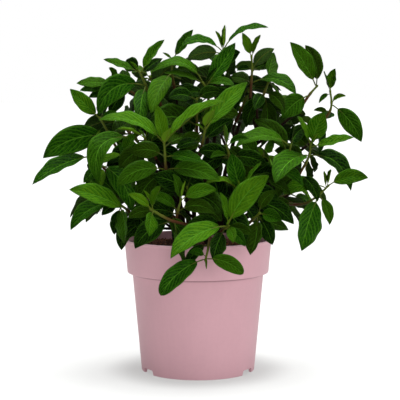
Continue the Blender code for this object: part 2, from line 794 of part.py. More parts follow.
def cane_paths():
    paths = []
    for angle, foot, top, height in CANES:
        outward = Matrix.Rotation(math.radians(angle), 3, "Z") @ Vector((1, 0, 0))
        start = outward * foot + UP * CANE_FOOT_HEIGHT
        soil_line = outward * foot + UP * (SOIL_CROWN_HEIGHT + SOIL_LINE_RISE)
        bend_radius = foot + (top - foot) * CANE_BEND
        bend_height = SOIL_CROWN_HEIGHT + (height - SOIL_CROWN_HEIGHT) * CANE_BEND_HEIGHT
        middle = outward * bend_radius + UP * bend_height
        end = outward * top + UP * height
        paths.append([start, *smooth_path([soil_line, middle, end], 2)])
    return paths


def point_at_height(path, height):
    for low, high in zip(path, path[1:]):
        if low.z <= height <= high.z:
            return low.lerp(high, (height - low.z) / (high.z - low.z))
    return path[-1].copy() if height > path[-1].z else path[0].copy()


def fork_point(path, base):
    """Where a branch to this shoot would leave this cane, rising at a slant."""
    highest = path[-1].z - FORK_BELOW_TOP
    height = base.z
    for _ in range(FORK_TRIES):
        spot = point_at_height(path, min(max(height, LOWEST_FORK), highest))
        flat = Vector((base.x - spot.x, base.y - spot.y)).length
        height = base.z - FORK_DROP - FORK_SLANT * flat
    return point_at_height(path, min(max(height, LOWEST_FORK), highest))


def nearest_cane(paths, base):
    lengths = [(fork_point(path, base) - base).length for path in paths]
    return lengths.index(min(lengths))


def place_branch(fork, joints, obstacles):
    """Bend the branch aside, a step at a time, until it touches no other stem."""
    lead = (joints[1] - joints[0]).normalized()
    end = joints[0] - lead * GAP
    before = joints[0] - lead * BRANCH_LEAD
    middle = fork.lerp(before, 0.5) - UP * BRANCH_SAG
    for step in range(BEND_STEPS):
        reach = BEND_STEP * math.sqrt(step)
        bend = Matrix.Rotation(GOLDEN_ANGLE * step, 3, "Z") @ Vector((reach, 0, 0))
        path = [fork, middle + bend, before, end]
        fat_size = BRANCH_SIZE + CLEARANCE
        if is_free(tube_shape(path[:-1], fat_size, fat_size, BRANCH_SIDES), obstacles):
            break
    return tube_shape(path, BRANCH_SIZE, STEM_BASE_SIZE, BRANCH_SIDES)


def main():
    clear_scene()
    pink = plain_material("pink_plastic", (0.578, 0.352, 0.402), 0.55)
    compost = plain_material("compost", (0.03, 0.018, 0.012), 0.95)
    bark = plain_material("bark", (0.09, 0.045, 0.022), 0.8)
    leaf_green = plain_material("leaf_green", (0.03, 0.12, 0.015), 0.5)
    make_pot(pink)
    shoots = tabled_shoots() + grown_shoots()
    canes = cane_paths()
    trunks = [tube_shape(path, CANE_FOOT_SIZE, CANE_TOP_SIZE, CANE_SIDES) for path in canes]
    stems = [stem_shape(joints) for _, joints, _ in shoots]
    stem_trees = [tree_of(stem) for stem in stems]
    trunk_trees = [tree_of(trunk) for trunk in trunks]
    branches = [[] for _ in canes]
    branch_trees = [[] for _ in canes]
    for number, (_, joints, _) in enumerate(shoots):
        cane = nearest_cane(canes, joints[0])
        others = [tree for k, tree in enumerate(stem_trees) if k != number]
        others += [tree for k, tree in enumerate(trunk_trees) if k != cane]
        others += [tree for k, group in enumerate(branch_trees) if k != cane for tree in group]
        branch = place_branch(fork_point(canes[cane], joints[0]), joints, others)
        branches[cane].append(branch)
        branch_trees[cane].append(tree_of(branch))
    sockets = []
    for k, (trunk, group) in enumerate(zip(trunks, branches)):
        cane = make_object(f"cane_{k + 1:02d}", *trunk, bark)
        parts = [make_object(f"branch_{k + 1:02d}_{n}", *b, bark) for n, b in enumerate(group)]
        if parts:
            add_boolean(cane, "UNION", parts, "_branches")
        foot = [canes[k][0] - UP * GAP, canes[k][0] + UP * 30]
        size = CANE_FOOT_SIZE + 2 * GAP
        sockets.append(make_object(f"socket_{k}", *tube_shape(foot, size, size, 7), compost))
    make_soil(compost, sockets)
    wood = trunk_trees + [tree for group in branch_trees for tree in group]
    placed = [[] for _ in shoots]
    pot_tree = tree_of(pot_outline())
    for number, (name, joints, rows) in enumerate(shoots):
        obstacles = wood + [pot_tree]
        obstacles += [tree for k, tree in enumerate(stem_trees) if k != number]
        obstacles += [tree for k, group in enumerate(placed) if k != number for tree in group]
        stem = make_object(f"shoot_{name}", *stems[number], leaf_green)
        leaves = []
        siblings = []
        for row in rows:
            shape = place_leaf(*row, obstacles, siblings)
            if shape is None:
                continue
            placed[number].append(tree_of(shape))
            siblings.append(blade_tree(shape))
            leaves.append(make_object(f"leaf_{name}_{len(leaves)}", *shape, leaf_green))
        add_boolean(stem, "UNION", leaves, "_leaves")


main()
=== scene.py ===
"""Potted hydrangea: its finished look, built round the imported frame.

Every piece is made by an operator, in metres, where the frame says that it is.
The leaves, stalks and stems of a shoot come from one Geometry Nodes tree, which
bends a plain grid into each leaf by a rule.
"""

import json
import math
import random

import bmesh
import bpy
from bpy.props import FloatProperty, FloatVectorProperty, IntProperty, PointerProperty
from mathutils import Matrix, Vector, noise

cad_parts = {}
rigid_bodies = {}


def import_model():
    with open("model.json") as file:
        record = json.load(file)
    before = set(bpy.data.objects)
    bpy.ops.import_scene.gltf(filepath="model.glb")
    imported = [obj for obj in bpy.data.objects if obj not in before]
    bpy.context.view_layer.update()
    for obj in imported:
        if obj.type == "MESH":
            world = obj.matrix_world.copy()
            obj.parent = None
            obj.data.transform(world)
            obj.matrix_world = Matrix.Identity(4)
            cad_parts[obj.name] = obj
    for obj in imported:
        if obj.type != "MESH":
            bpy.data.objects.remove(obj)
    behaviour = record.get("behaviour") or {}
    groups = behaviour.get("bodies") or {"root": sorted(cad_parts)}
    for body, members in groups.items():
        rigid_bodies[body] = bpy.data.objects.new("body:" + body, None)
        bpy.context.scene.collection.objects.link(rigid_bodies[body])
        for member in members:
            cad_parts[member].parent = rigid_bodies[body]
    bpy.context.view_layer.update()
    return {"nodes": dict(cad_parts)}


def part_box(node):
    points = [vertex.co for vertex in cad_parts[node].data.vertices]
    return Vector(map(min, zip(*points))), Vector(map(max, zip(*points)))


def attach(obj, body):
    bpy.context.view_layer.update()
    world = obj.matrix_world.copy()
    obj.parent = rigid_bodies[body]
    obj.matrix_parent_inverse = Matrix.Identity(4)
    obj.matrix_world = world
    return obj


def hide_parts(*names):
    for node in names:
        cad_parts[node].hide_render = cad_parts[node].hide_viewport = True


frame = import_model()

bl_info = {
    "name": "Potted Hydrangea",
    "version": (1, 0, 0),
    "blender": (4, 5, 0),
    "location": "View3D > Sidebar > Plant",
    "description": "Builds a leafy hydrangea in a nursery pot",
    "category": "Add Mesh",
}

MM = 0.001
UP = Vector((0, 0, 1))
FRONT = Vector((0, -1, 0))
TAU = 2 * math.pi

# Leaf rule, the same as the frame's solids follow
STALK_LENGTH = 10
LONGEST_STALK = 0.16
FIRST_PAIR_DROP = 2.2
PAIR_DROP = 2.4
YOUNG_LENGTH = 34
WIDTH_SHARE = 0.36
YOUNG_WIDTH_SHARE = 0.22
HANGING = -0.92
OUTLINE_RISE = 0.75
OUTLINE_FALL = 0.95
TIP_TOLERANCE = 0.03
BLUNT_TIPS = 0.8

# Tone of each leaf, from deep shade to fresh growth; the deep shade (D) is painted shade, given to
# the leaves that sit inside the bush
TONES = {"D": 0.0, "M": 0.42, "B": 0.7, "Y": 0.95, "G": 0.3}

# Each shoot: the tones of its leaves in order, its joints from base to tip, then
# its leaves. A leaf has the joint that it grows from, its tip's x and z, the width
# that it shows to the front (negative where it shows its underside) and its arch,
# in hundredths of its length. The tip's depth is read from the frame.
FRONT_SHOOTS = {
    "left_crown": (
        "MDBYDMMD",
        ((-56, -4, 338), (-61, -5, 351), (-67, -6, 367), (-75, -8, 384)),
        ((3, -119, 398, 11, 2), (3, -92, 398, 20, 5), (3, -42, 423, 15, 3), (3, -86, 396, 4, 5),
         (3, -45, 400, 12, 6), (2, -125, 328, 31, 28), (2, -72, 315, 22, 10),
         (1, -34, 372, 18, 10)),
    ),
    "left_outer": (
        "MMMDDM",
        ((-70, 2, 346), (-90, -6, 361), (-106, -14, 370)),
        ((2, -112, 388, 12, 10), (2, -153, 368, 13, 6), (2, -149, 359, 13, 6),
         (1, -112, 328, 18, 12), (1, -98, 386, 14, 10), (1, -138, 350, 18, 10)),
    ),
    "left_brown_stem": (
        "BMDMDD",
        ((-100, -14, 280), (-112, -18, 303), (-124, -22, 325)),
        ((2, -160, 361, 20, 2), (2, -98, 328, 14, 8), (2, -122, 350, 12, 6),
         (1, -195, 274, 34, 9), (1, -84, 318, 20, 10), (1, -86, 282, 22, 10)),
    ),
    "left_edge": (
        "MYDMGYDD",
        ((-110, -16, 252), (-125, -24, 267), (-133, -28, 278)),
        ((2, -208, 241, 18, 10), (2, -122, 310, 13, 5), (2, -138, 250, 16, 10),
         (1, -82, 210, 22, 12), (1, -143, 244, 14, 6), (1, -121, 238, 6, 4),
         (1, -146, 222, 18, 15), (1, -94, 256, 22, 10)),
    ),
    "left_arch": (
        "MDYDDDD",
        ((-66, -32, 280), (-72, -34, 290), (-78, -36, 301)),
        ((2, -122, 243, 19, 40), (2, -60, 332, 14, 10), (2, -86, 320, 6, 5),
         (1, -40, 312, 14, 10), (1, -112, 268, 24, 14), (1, -34, 266, 22, 12),
         (2, -34, 288, 22, 8)),
    ),
    "front_upper": (
        "BBYYMMMDDDDD",
        ((-34, -66, 238), (-39, -75, 264), (-40, -79, 280), (-41, -81, 296)),
        ((3, -120, 323, 17, 19), (3, 32, 346, 14, 10), (3, -51, 342, 19, 5),
         (3, -33, 314, 12, 10), (2, 7, 272, 16, 12), (1, -98, 243, 24, 12),
         (1, 27, 251, 24, 14), (2, -84, 282, 22, 14), (1, -76, 214, 24, 14),
         (1, 14, 212, 24, 14), (3, -8, 300, 22, 12), (1, -36, 200, 24, 10)),
    ),
    "front_bud": (
        "YYYDDDD",
        ((-52, -44, 274), (-61, -51, 289), (-66, -55, 301)),
        ((2, -98, 312, 5, 12), (2, -62, 310, 3, 5), (2, -73, 311, 3, 5), (1, -34, 324, 14, 10),
         (1, -98, 262, 24, 14), (1, -20, 262, 20, 14), (1, -58, 256, 22, 10)),
    ),
    "centre_bud": (
        "YYYBDDDDDDD",
        ((2, -60, 280), (6, -66, 297), (9, -70, 313)),
        ((2, 10, 332, 4, 5), (2, 20, 336, 5, 6), (2, -3, 318, 6, 10), (2, 61, 369, 18, 8),
         (1, -26, 288, 14, 12), (1, 44, 324, 16, 12), (1, -34, 250, 22, 12),
         (1, 50, 258, 22, 12), (1, -26, 286, 24, 12), (2, 40, 296, 22, 12),
         (2, -16, 284, 24, 10)),
    ),
    "centre_right": (
        "BMMDDDDD",
        ((40, -66, 264), (38, -72, 280), (35, -76, 292)),
        ((2, 33, 318, 16, 5), (2, 62, 300, 9, 15), (1, 15, 277, 9, 12), (1, 84, 268, 22, 12),
         (1, 66, 226, 24, 12), (1, 4, 262, 24, 12), (1, 50, 244, 24, 10), (1, 0, 284, 20, 10)),
    ),
    "lower_right_young": (
        "YMBYDDDD",
        ((50, -74, 212), (51, -80, 225), (52, -86, 236)),
        ((2, 6, 244, 6, 25), (2, 40, 283, 24, 5), (2, 77, 273, 9, 8), (2, 49, 251, 4, 5),
         (1, 98, 228, 24, 14), (1, 8, 202, 22, 12), (1, 74, 190, 24, 12), (1, 34, 184, 24, 12)),
    ),
    "front_low_left": (
        "YBYBDDDD",
        ((-12, -90, 196), (-30, -103, 202), (-42, -108, 208), (-50, -110, 213), (-57, -112, 217)),
        ((4, -83, 236, 12, 8), (4, -44, 246, 14, 6), (4, -65, 240, 3, 5), (4, -57, 186, 22, 20),
         (1, -14, 146, 26, 6), (2, -16, 170, 20, 12), (3, -84, 205, 14, 15),
         (1, -76, 168, 26, 14)),
    ),
    "front_low_centre": (
        "YBMDMDDD",
        ((-27, -84, 200), (-24, -91, 214), (-20, -97, 228)),
        ((2, -15, 251, 4, 5), (2, 23, 240, 18, 12), (2, -30, 259, 17, 5), (1, 21, 211, 18, 14),
         (1, -58, 232, 12, 12), (1, -2, 184, 24, 12), (1, -50, 192, 24, 12),
         (1, -72, 208, 22, 8)),
    ),
    "front_low_right": (
        "BBBBYMDDD",
        ((28, -84, 188), (33, -99, 193), (37, -110, 197)),
        ((2, -32, 162, 24, 12), (2, 26, 238, 17, 5), (2, 85, 258, 30, 6), (2, 42, 178, 13, 10),
         (2, 38, 206, 4, 5), (1, 57, 172, 15, 12), (1, 18, 156, 24, 10), (1, 66, 186, 14, 14),
         (1, -14, 196, 22, 10)),
    ),
    "over_rim": (
        "MMMYD",
        ((15, -96, 190), (13, -111, 173), (9, -119, 156)),
        ((2, -44, 116, 20, 10), (2, 54, 141, 19, 10), (2, -10, 167, 10, 12), (2, 10, 147, 4, 5),
         (1, -13, 149, 13, 10)),
    ),
    "right_low": (
        "MDDDDD",
        ((60, -76, 194), (68, -86, 203), (75, -94, 211)),
        ((2, 101, 203, 17, 12), (2, 96, 238, 14, 10), (1, 110, 190, 15, 5),
         (2, 63, 161, 28, 10), (1, 50, 182, 20, 10), (2, 90, 173, 20, 10)),
    ),
    "top_arch": (
        "MMDMDDMD",
        ((12, -20, 334), (13, -24, 356), (6, -27, 369)),
        ((2, -58, 381, 14, 34), (2, -42, 380, 12, 10), (2, 24, 388, 5, 6), (2, 46, 364, 12, 16),
         (1, -30, 350, 18, 12), (1, 42, 346, 18, 12), (2, 47, 419, 21, 4),
         (1, -10, 302, 24, 10)),
    ),
    "top_left_tip": (
        "MYBDDD",
        ((-28, 6, 350), (-31, 5, 367), (-33, 3, 383), (-32, 1, 400)),
        ((3, -6, 436, 15, 4), (3, -45, 407, 4, 6), (2, -58, 330, 12, 14), (2, 2, 386, 14, 12),
         (1, -58, 354, 18, 14), (1, 0, 344, 18, 14)),
    ),
    "top_rosette": (
        "MYYMGDD",
        ((22, 2, 368), (28, 0, 390), (33, -2, 412)),
        ((2, 89, 438, 9, 20), (2, 34, 442, 12, 3), (2, 22, 434, 8, 6), (2, -21, 415, 12, 20),
         (2, -14, 398, -20, 14), (1, 54, 408, 18, 10), (1, 24, 404, 18, 12)),
    ),
    "top_right_tip": (
        "YYGDDMDD",
        ((67, 0, 350), (68, -1, 370), (69, -2, 387), (68, -2, 403)),
        ((3, 56, 432, 14, 5), (3, 79, 429, 12, 5), (2, 97, 412, -17, 5), (2, 49, 384, 9, 10),
         (2, 100, 392, 14, 10), (1, 123, 354, 15, 20), (1, 40, 376, 18, 12),
         (1, 38, 292, 24, 8)),
    ),
    "right_crown": (
        "MDDDDD",
        ((78, -14, 342), (85, -9, 358), (90, -6, 371)),
        ((2, 98, 408, 24, 2), (2, 110, 344, 18, 10), (1, 108, 332, 16, 12),
         (1, 70, 334, 16, 12), (1, 62, 312, 20, 10), (1, 82, 288, 24, 10)),
    ),
    "right_top_pair": (
        "MDM",
        ((133, -7, 341), (143, -4, 355), (152, -2, 365)),
        ((2, 116, 420, 24, 4), (2, 137, 417, 22, 16), (1, 106, 324, 28, 10)),
    ),
    "right_outer": (
        "BMMMYDDD",
        ((152, 0, 303), (161, -4, 321), (168, -6, 333), (170, -6, 344), (168, -6, 359)),
        ((4, 174, 387, 15, 6), (4, 158, 384, 14, 6), (4, 153, 343, 6, 20),
         (3, 207, 294, 24, 10), (3, 187, 352, 7, 15), (2, 146, 334, 7, 12),
         (1, 152, 279, 18, 10), (1, 176, 330, 16, 12)),
    ),
    "right_middle": (
        "BBYBMDDDDDDDD",
        ((119, -15, 234), (129, -18, 254), (137, -20, 268), (141, -22, 279), (142, -26, 292)),
        ((4, 158, 332, 26, 5), (4, 123, 327, 20, 4), (4, 150, 306, 6, 5), (4, 194, 301, 15, 4),
         (3, 93, 247, 28, 12), (3, 197, 230, 26, 22), (3, 142, 240, 22, 10),
         (1, 150, 220, 14, 12), (1, 98, 222, 16, 12), (4, 110, 308, 20, 10),
         (2, 98, 282, 24, 10), (4, 166, 274, 18, 10), (4, 150, 254, 20, 8)),
    ),
    "right_low_spray": (
        "BYYBMMDD",
        ((112, -10, 216), (125, -12, 214), (140, -14, 217), (155, -16, 228), (166, -18, 239)),
        ((4, 213, 250, 20, 8), (4, 168, 260, 10, 5), (4, 159, 258, 8, 5), (4, 107, 229, 19, 12),
         (3, 130, 158, 40, 6), (3, 168, 188, 14, 12), (1, 87, 206, 20, 14),
         (2, 150, 196, 18, 16)),
    ),
    "right_bright_arch": (
        "MDDDDD",
        ((108, -38, 264), (113, -40, 278), (116, -42, 291)),
        ((2, 46, 289, 18, 22), (2, 120, 318, 9, 8), (1, 70, 322, 22, 12), (1, 130, 256, 20, 14),
         (1, 66, 250, 24, 12), (2, 138, 314, 18, 10)),
    ),
    "left_low": (
        "BMDMDDDDGD",
        ((-77, -50, 199), (-88, -54, 211), (-100, -58, 221)),
        ((1, -156, 239, 27, 10), (2, -158, 186, 18, 20), (2, -118, 206, 13, 12),
         (2, -90, 172, 28, 4), (1, -104, 250, 18, 12), (1, -56, 178, 22, 14),
         (1, -89, 174, 24, 10), (1, -96, 159, 16, 8), (2, -142, 254, 20, 10),
         (2, -104, 180, 18, 8)),
    ),
}

# Rule-grown shoots: angle round the plant, radius and height of the base, how
# steeply it climbs in degrees, and its turn about its own stem
GROWN_SHOOTS = (
    (12, 92, 214, 20, 20), (44, 80, 226, 26, 65), (76, 71, 212, 24, 10), (108, 60, 228, 28, 50),
    (140, 80, 214, 22, 80), (170, 86, 220, 26, 35), (26, 98, 292, 42, 70), (60, 68, 306, 46, 15),
    (92, 62, 290, 42, 55), (124, 50, 306, 46, 40), (156, 86, 292, 44, 75), (52, 50, 342, 68, 40),
    (100, 52, 338, 66, 85), (146, 54, 332, 64, 5), (205, 62, 246, 42, 60), (330, 58, 244, 44, 30),
    (268, 30, 300, 72, 20), (238, 44, 196, 26, 35), (262, 52, 214, 34, 60), (290, 46, 198, 28, 15),
    (316, 54, 206, 30, 50), (20, 52, 318, 66, 50),
)
GROWN_JOINT_STEP = 17
GROWN_PAIRS = ((70, 64), (62, 58), (38, 42))
GROWN_BUD = (16, 22)
GROWN_LOW_PAIR = (58, 52)
GROWN_FORWARD = 0.5
GROWN_OUTWARD = 0.87
GROWN_DROOP = 0.34
DROOP_RELIEF = 0.6
GROWN_WIDTH = 0.44
GROWN_ARCH = 0.14
# Tones of the pairs from the lowest up; the lowest pair's deep shade is painted shade
GROWN_TONES = ("D", "M", "B", "Y")
# Shoots inside the bush, given the deep shade tone on every leaf as painted shade
INNER_SHOOTS = (17, 18, 19, 20, 21, 22)


# ---- settings


def paint(name, description, default):
    return FloatVectorProperty(
        name=name, description=description, default=default, subtype="COLOR", size=3, min=0, max=1
    )


def distance(name, description, default, high):
    return FloatProperty(
        name=name, description=description, default=default, min=0, max=high,
        subtype="DISTANCE", unit="LENGTH",
    )


def amount(name, description, default, high):
    return FloatProperty(name=name, description=description, default=default, min=0, max=high)


def whole(name, description, default, low, high):
    return IntProperty(name=name, description=description, default=default, min=low, max=high)


class PotSettings(bpy.types.PropertyGroup):
    plastic: paint("Plastic", "Colour of the moulded plastic", (0.535, 0.3, 0.34))
    grain: distance("Grain", "Depth of the fine moulded texture", 0.00012, 0.001)
    segments: whole("Segments", "Sides of the turned wall", 160, 24, 256)


class LeafSettings(bpy.types.PropertyGroup):
    # Painted shade: this is the colour of the deep shade tone, on the leaves inside the bush
    # whatever their age
    shade: paint("Shaded leaf", "Colour of the oldest leaves", (0.0002, 0.0052, 0.0004))
    mature: paint("Mature leaf", "Colour of the full-grown leaves", (0.0036, 0.048, 0.0005))
    fresh: paint("Fresh leaf", "Colour of the bright leaves", (0.025, 0.118, 0.0011))
    young: paint("Young leaf", "Colour of the newest growth", (0.105, 0.21, 0.004))
    under: paint("Underside", "Colour of the underside", (0.03, 0.06, 0.012))
    vein: paint("Vein", "Colour of the midrib and the side veins", (0.064, 0.19, 0.012))
    vein_count: amount("Side veins", "Pairs of side veins on a leaf", 7.5, 16)
    quilting: distance("Quilting", "How far the blade swells between its veins", 0.001, 0.003)
    thickness: distance("Thickness", "Thickness of the blade at its midrib", 0.00045, 0.002)
    rows: whole("Rows", "Mesh rows along a blade", 30, 6, 60)
    columns: whole("Columns", "Mesh columns across a blade", 12, 4, 24)


class WoodSettings(bpy.types.PropertyGroup):
    green: paint("Green stem", "Colour of the soft stem tips", (0.085, 0.12, 0.008))
    ripe: paint("Ripening stem", "Colour of the stems that turn woody", (0.055, 0.02, 0.006))
    bark: paint("Bark", "Colour of the canes", (0.012, 0.0052, 0.002))


class CompostSettings(bpy.types.PropertyGroup):
    peat: paint("Peat", "Colour of the damp compost", (0.026, 0.0105, 0.006))
    chips: paint("Bark chips", "Colour of the chips and fibres", (0.17, 0.065, 0.034))
    crumbs: amount("Crumbs", "Crumbs on each square metre", 70000, 200000)


class StageSettings(bpy.types.PropertyGroup):
    horizon: amount("Horizon", "Strength of the white band round the horizon", 1.0, 20)
    zenith: amount("Zenith", "Strength of the dimmer light overhead", 0.3, 20)
    key: amount("Key light", "Strength of the broad light from above", 6.8, 20)
    fill: amount("Fill light", "Strength of the light from the front right", 1.1, 20)
    key_size: FloatProperty(
        name="Key size", description="How broad the lights are", default=math.radians(46),
        min=0, max=math.pi, subtype="ANGLE", unit="ROTATION",
    )


SETTINGS = {
    "plant_pot": PotSettings,
    "plant_leaf": LeafSettings,
    "plant_wood": WoodSettings,
    "plant_compost": CompostSettings,
    "plant_stage": StageSettings,
}


# ---- node sums


class Term:
    """A node's output that can be written into a sum."""

    def __init__(self, book, socket):
        self.book = book
        self.socket = socket
        self.is_vector = socket.type == "VECTOR"

    def __add__(self, other):
        return self.book.join("ADD", self, other)

    def __sub__(self, other):
        return self.book.join("SUBTRACT", self, other)

    def __rsub__(self, other):
        return self.book.join("SUBTRACT", other, self)

    def __mul__(self, other):
        return self.book.join("MULTIPLY", self, other)

    def __truediv__(self, other):
        return self.book.join("DIVIDE", self, other)


class Book:
    """Writes nodes into a tree, for materials and for geometry alike."""

    def __init__(self, tree):
        self.tree = tree

    def node(self, kind, values=None, **settings):
        item = self.tree.nodes.new(kind)
        for name, value in settings.items():
            setattr(item, name, value)
        for key, value in (values or {}).items():
            self.feed(item.inputs[key], value)
        return item

    def feed(self, socket, value):
        if isinstance(value, Term):
            self.tree.links.new(value.socket, socket)
        elif isinstance(value, bpy.types.NodeSocket):
            self.tree.links.new(value, socket)
        else:
            socket.default_value = value

    def term(self, kind, values=None, output=0, **settings):
        return Term(self, self.node(kind, values, **settings).outputs[output])

    def store(self, geometry, name, value, kind="FLOAT_VECTOR"):
        """Write a value on every point under a name."""
        values = {"Geometry": geometry, "Name": name, "Value": value}
        return self.term("GeometryNodeStoreNamedAttribute", values, data_type=kind, domain="POINT")

    def chance(self, low, high, seed):
        """A random vector on each point, or a random number."""
        if isinstance(low, tuple):
            values = {0: low, 1: high, "Seed": seed}
            return self.term("FunctionNodeRandomValue", values, data_type="FLOAT_VECTOR")
        values = {2: low, 3: high, "Seed": seed}
        return self.term("FunctionNodeRandomValue", values, 1, data_type="FLOAT")

    def join(self, operation, first, second):
        vectors = [isinstance(x, Term) and x.is_vector for x in (first, second)]
        if not any(vectors):
            values = {0: first, 1: second}
            return self.term("ShaderNodeMath", values, operation=operation)
        if operation == "MULTIPLY" and not all(vectors):
            vector, number = (first, second) if vectors[0] else (second, first)
            values = {0: vector, "Scale": number}
            return self.term("ShaderNodeVectorMath", values, operation="SCALE")
        values = {0: first, 1: second}
        return self.term("ShaderNodeVectorMath", values, operation=operation)

    def together(self, *pieces):
        item = self.node("GeometryNodeJoinGeometry")
        for piece in pieces:
            self.feed(item.inputs[0], piece)
        return Term(self, item.outputs[0])

    def math(self, operation, *values):
        return self.term("ShaderNodeMath", dict(enumerate(values)), operation=operation)

    def vector(self, operation, *values):
        output = "Value" if operation in {"DOT_PRODUCT", "LENGTH"} else 0
        return self.term(
            "ShaderNodeVectorMath", dict(enumerate(values)), output, operation=operation
        )

    def parts(self, vector):
        item = self.node("ShaderNodeSeparateXYZ", {0: vector})
        return [Term(self, socket) for socket in item.outputs]

    def step(self, value, low, high, first=0.0, last=1.0):
        """A smooth step from first to last as value goes from low to high."""
        values = {0: value, 1: low, 2: high, 3: first, 4: last}
        return self.term("ShaderNodeMapRange", values, interpolation_type="SMOOTHSTEP")

    def blend(self, share, first, second):
        item = self.node("ShaderNodeMix", data_type="RGBA", clamp_factor=True)
        for index, value in ((0, share), (6, first), (7, second)):
            if index and not isinstance(value, Term):
                value = (*value, 1)
            self.feed(item.inputs[index], value)
        return Term(self, item.outputs[2])

    def coats(self, colour, *layers):
        """A colour under layers, each a share and a colour."""
        for share, paint in layers:
            colour = self.blend(share, colour, paint)
        return colour

    def cells(self, place, scale, feature="F1"):
        values = {"Vector": place, "Scale": scale}
        return self.term("ShaderNodeTexVoronoi", values, feature=feature)

    def noise(self, place, scale, detail=3.0, rough=0.5):
        values = {"Vector": place, "Scale": scale, "Detail": detail, "Roughness": rough}
        return self.term("ShaderNodeTexNoise", values)


VEIN_SWEEP = 0.32
VEIN_BEND = 0.12


def vein_phase(along, across, count):
    """Whole at each side vein: the veins sweep forwards as they leave the midrib."""
    sweep = across * VEIN_SWEEP + across * across * VEIN_BEND
    return (along - sweep) * count


# ---- materials


def new_material(name):
    material = bpy.data.materials.new(name)
    material.use_nodes = True
    book = Book(material.node_tree)
    shader = material.node_tree.nodes["Principled BSDF"]
    return material, book, shader, book.term("ShaderNodeTexCoord", None, "Object")


def dress(book, shader, colour, roughness, specular):
    book.feed(shader.inputs["Base Color"], colour)
    book.feed(shader.inputs["Roughness"], roughness)
    shader.inputs["Specular IOR Level"].default_value = specular


def darker(colour, share):
    return tuple(channel * share for channel in colour)


def paler(colour, share):
    return tuple(min(1, channel * share) for channel in colour)


def attribute(book, name, output="Fac"):
    return book.term("ShaderNodeAttribute", None, output, attribute_name=name)


def add_bump(book, shader, height, distance, strength=1.0):
    values = {"Height": height, "Distance": distance, "Strength": strength}
    bump = book.term("ShaderNodeBump", values)
    book.feed(shader.inputs["Normal"], bump)


def leaf_veins(book, look, place):
    """Where the midrib, the side veins and the fine net run on the blade."""
    spot = attribute(book, "spot", "Vector")
    side, along, _ = book.parts(spot)
    across = book.math("ABSOLUTE", side * 2.0 - 1.0)
    phase = vein_phase(along, across, look.vein_count)
    near = book.math("PINGPONG", phase, 0.5)
    fade = book.step(across, 0.8, 1.0, 1.0, 0.15) * book.step(phase, 0.3, 0.9)
    side_vein = book.step(near, 0.0, 0.13, 1.0, 0.0) * fade
    midrib_width = 0.07 - along * 0.035
    midrib = book.step(across, midrib_width * 0.3, midrib_width, 1.0, 0.0)
    fine = book.step(book.cells(place, 270.0, "DISTANCE_TO_EDGE"), 0.0, 0.17, 1.0, 0.0)
    return along, across, near, side_vein, midrib, fine


def blade_material(look):
    """Darkest where its tone paints the shade inside the bush, bright where it is young, with pale
    veins and a painted highlight along the margin.
    """
    material, book, shader, place = new_material("leaf_upper")
    along, across, near, side_vein, midrib, fine = leaf_veins(book, look, place)
    tone = attribute(book, "tone")
    chance = attribute(book, "chance")
    patches = book.noise(place, 55.0, 3.0, 0.6)
    speckle = book.noise(place, 420.0, 2.0, 0.6)
    # Small veins wander between the side veins, and lighten the blade beside them
    wander = (book.noise(place, 130.0, 2.0) - 0.5) * 1.6
    small_phase = vein_phase(along, across, look.vein_count * 3)
    ripple = book.math("PINGPONG", small_phase + wander, 0.5)
    level = tone - 0.03 + (patches - 0.5) * 0.3 + (speckle - 0.5) * 0.5
    level = level + book.step(near, 0.04, 0.3, 0.16, -0.12) + (ripple - 0.25) * 1.3
    vein_light = book.step(tone, 0.0, 0.9, 0.44, 0.76)
    # Painted highlight: a thin pale line along the margin
    margin_highlight = book.step(across, 0.78, 0.92)
    # The shade colour under low tones is painted shade for the leaves inside the bush
    colour = book.coats(
        look.shade,
        (book.step(level, 0.15, 0.45), look.mature),
        (book.step(level, 0.42, 0.7), look.fresh),
        (book.step(level, 0.72, 1.0), look.young),
        (book.step(chance, 0.4, 1.0, 0.0, 0.16), look.young),
        (fine * vein_light * 0.42, look.vein),
        (margin_highlight * vein_light * 0.8, look.vein),
        (side_vein * vein_light * 0.9, look.vein),
        (midrib * (vein_light + 0.4), paler(look.vein, 1.3)),
    )
    gloss = book.noise(place, 160.0, 2.0) * 0.2 + side_vein * 0.1 + 0.34
    dress(book, shader, colour, gloss, 0.035)
    shader.inputs["Specular Tint"].default_value = (0.6, 1.0, 0.35, 1)
    grooves = side_vein * -0.8 - midrib * 0.9 - fine * 0.22
    height = grooves + patches * 0.2 + speckle * 0.2 + ripple * 0.7
    add_bump(book, shader, height, 0.0014, 0.9)
    return material


def underside_material(look):
    material, book, shader, place = new_material("leaf_underside")
    *_, side_vein, midrib, fine = leaf_veins(book, look, place)
    tone = attribute(book, "tone")
    patches = book.noise(place, 70.0, 3.0, 0.6)
    # Painted shade: low tones darken the underside, for the leaves inside the bush
    colour = book.coats(
        darker(look.under, 0.35),
        (book.step(tone + (patches - 0.5) * 0.2, 0.05, 0.7), look.under),
        (book.step(tone, 0.6, 0.95, 0.0, 0.7), look.young),
        (fine * 0.16, look.vein),
        (side_vein * 0.4, look.vein),
        (midrib * 0.6, look.vein),
    )
    dress(book, shader, colour, patches * 0.15 + 0.5, 0.03)
    height = side_vein * 0.8 + midrib + fine * 0.3
    add_bump(book, shader, height, 0.0005, 0.8)
    return material


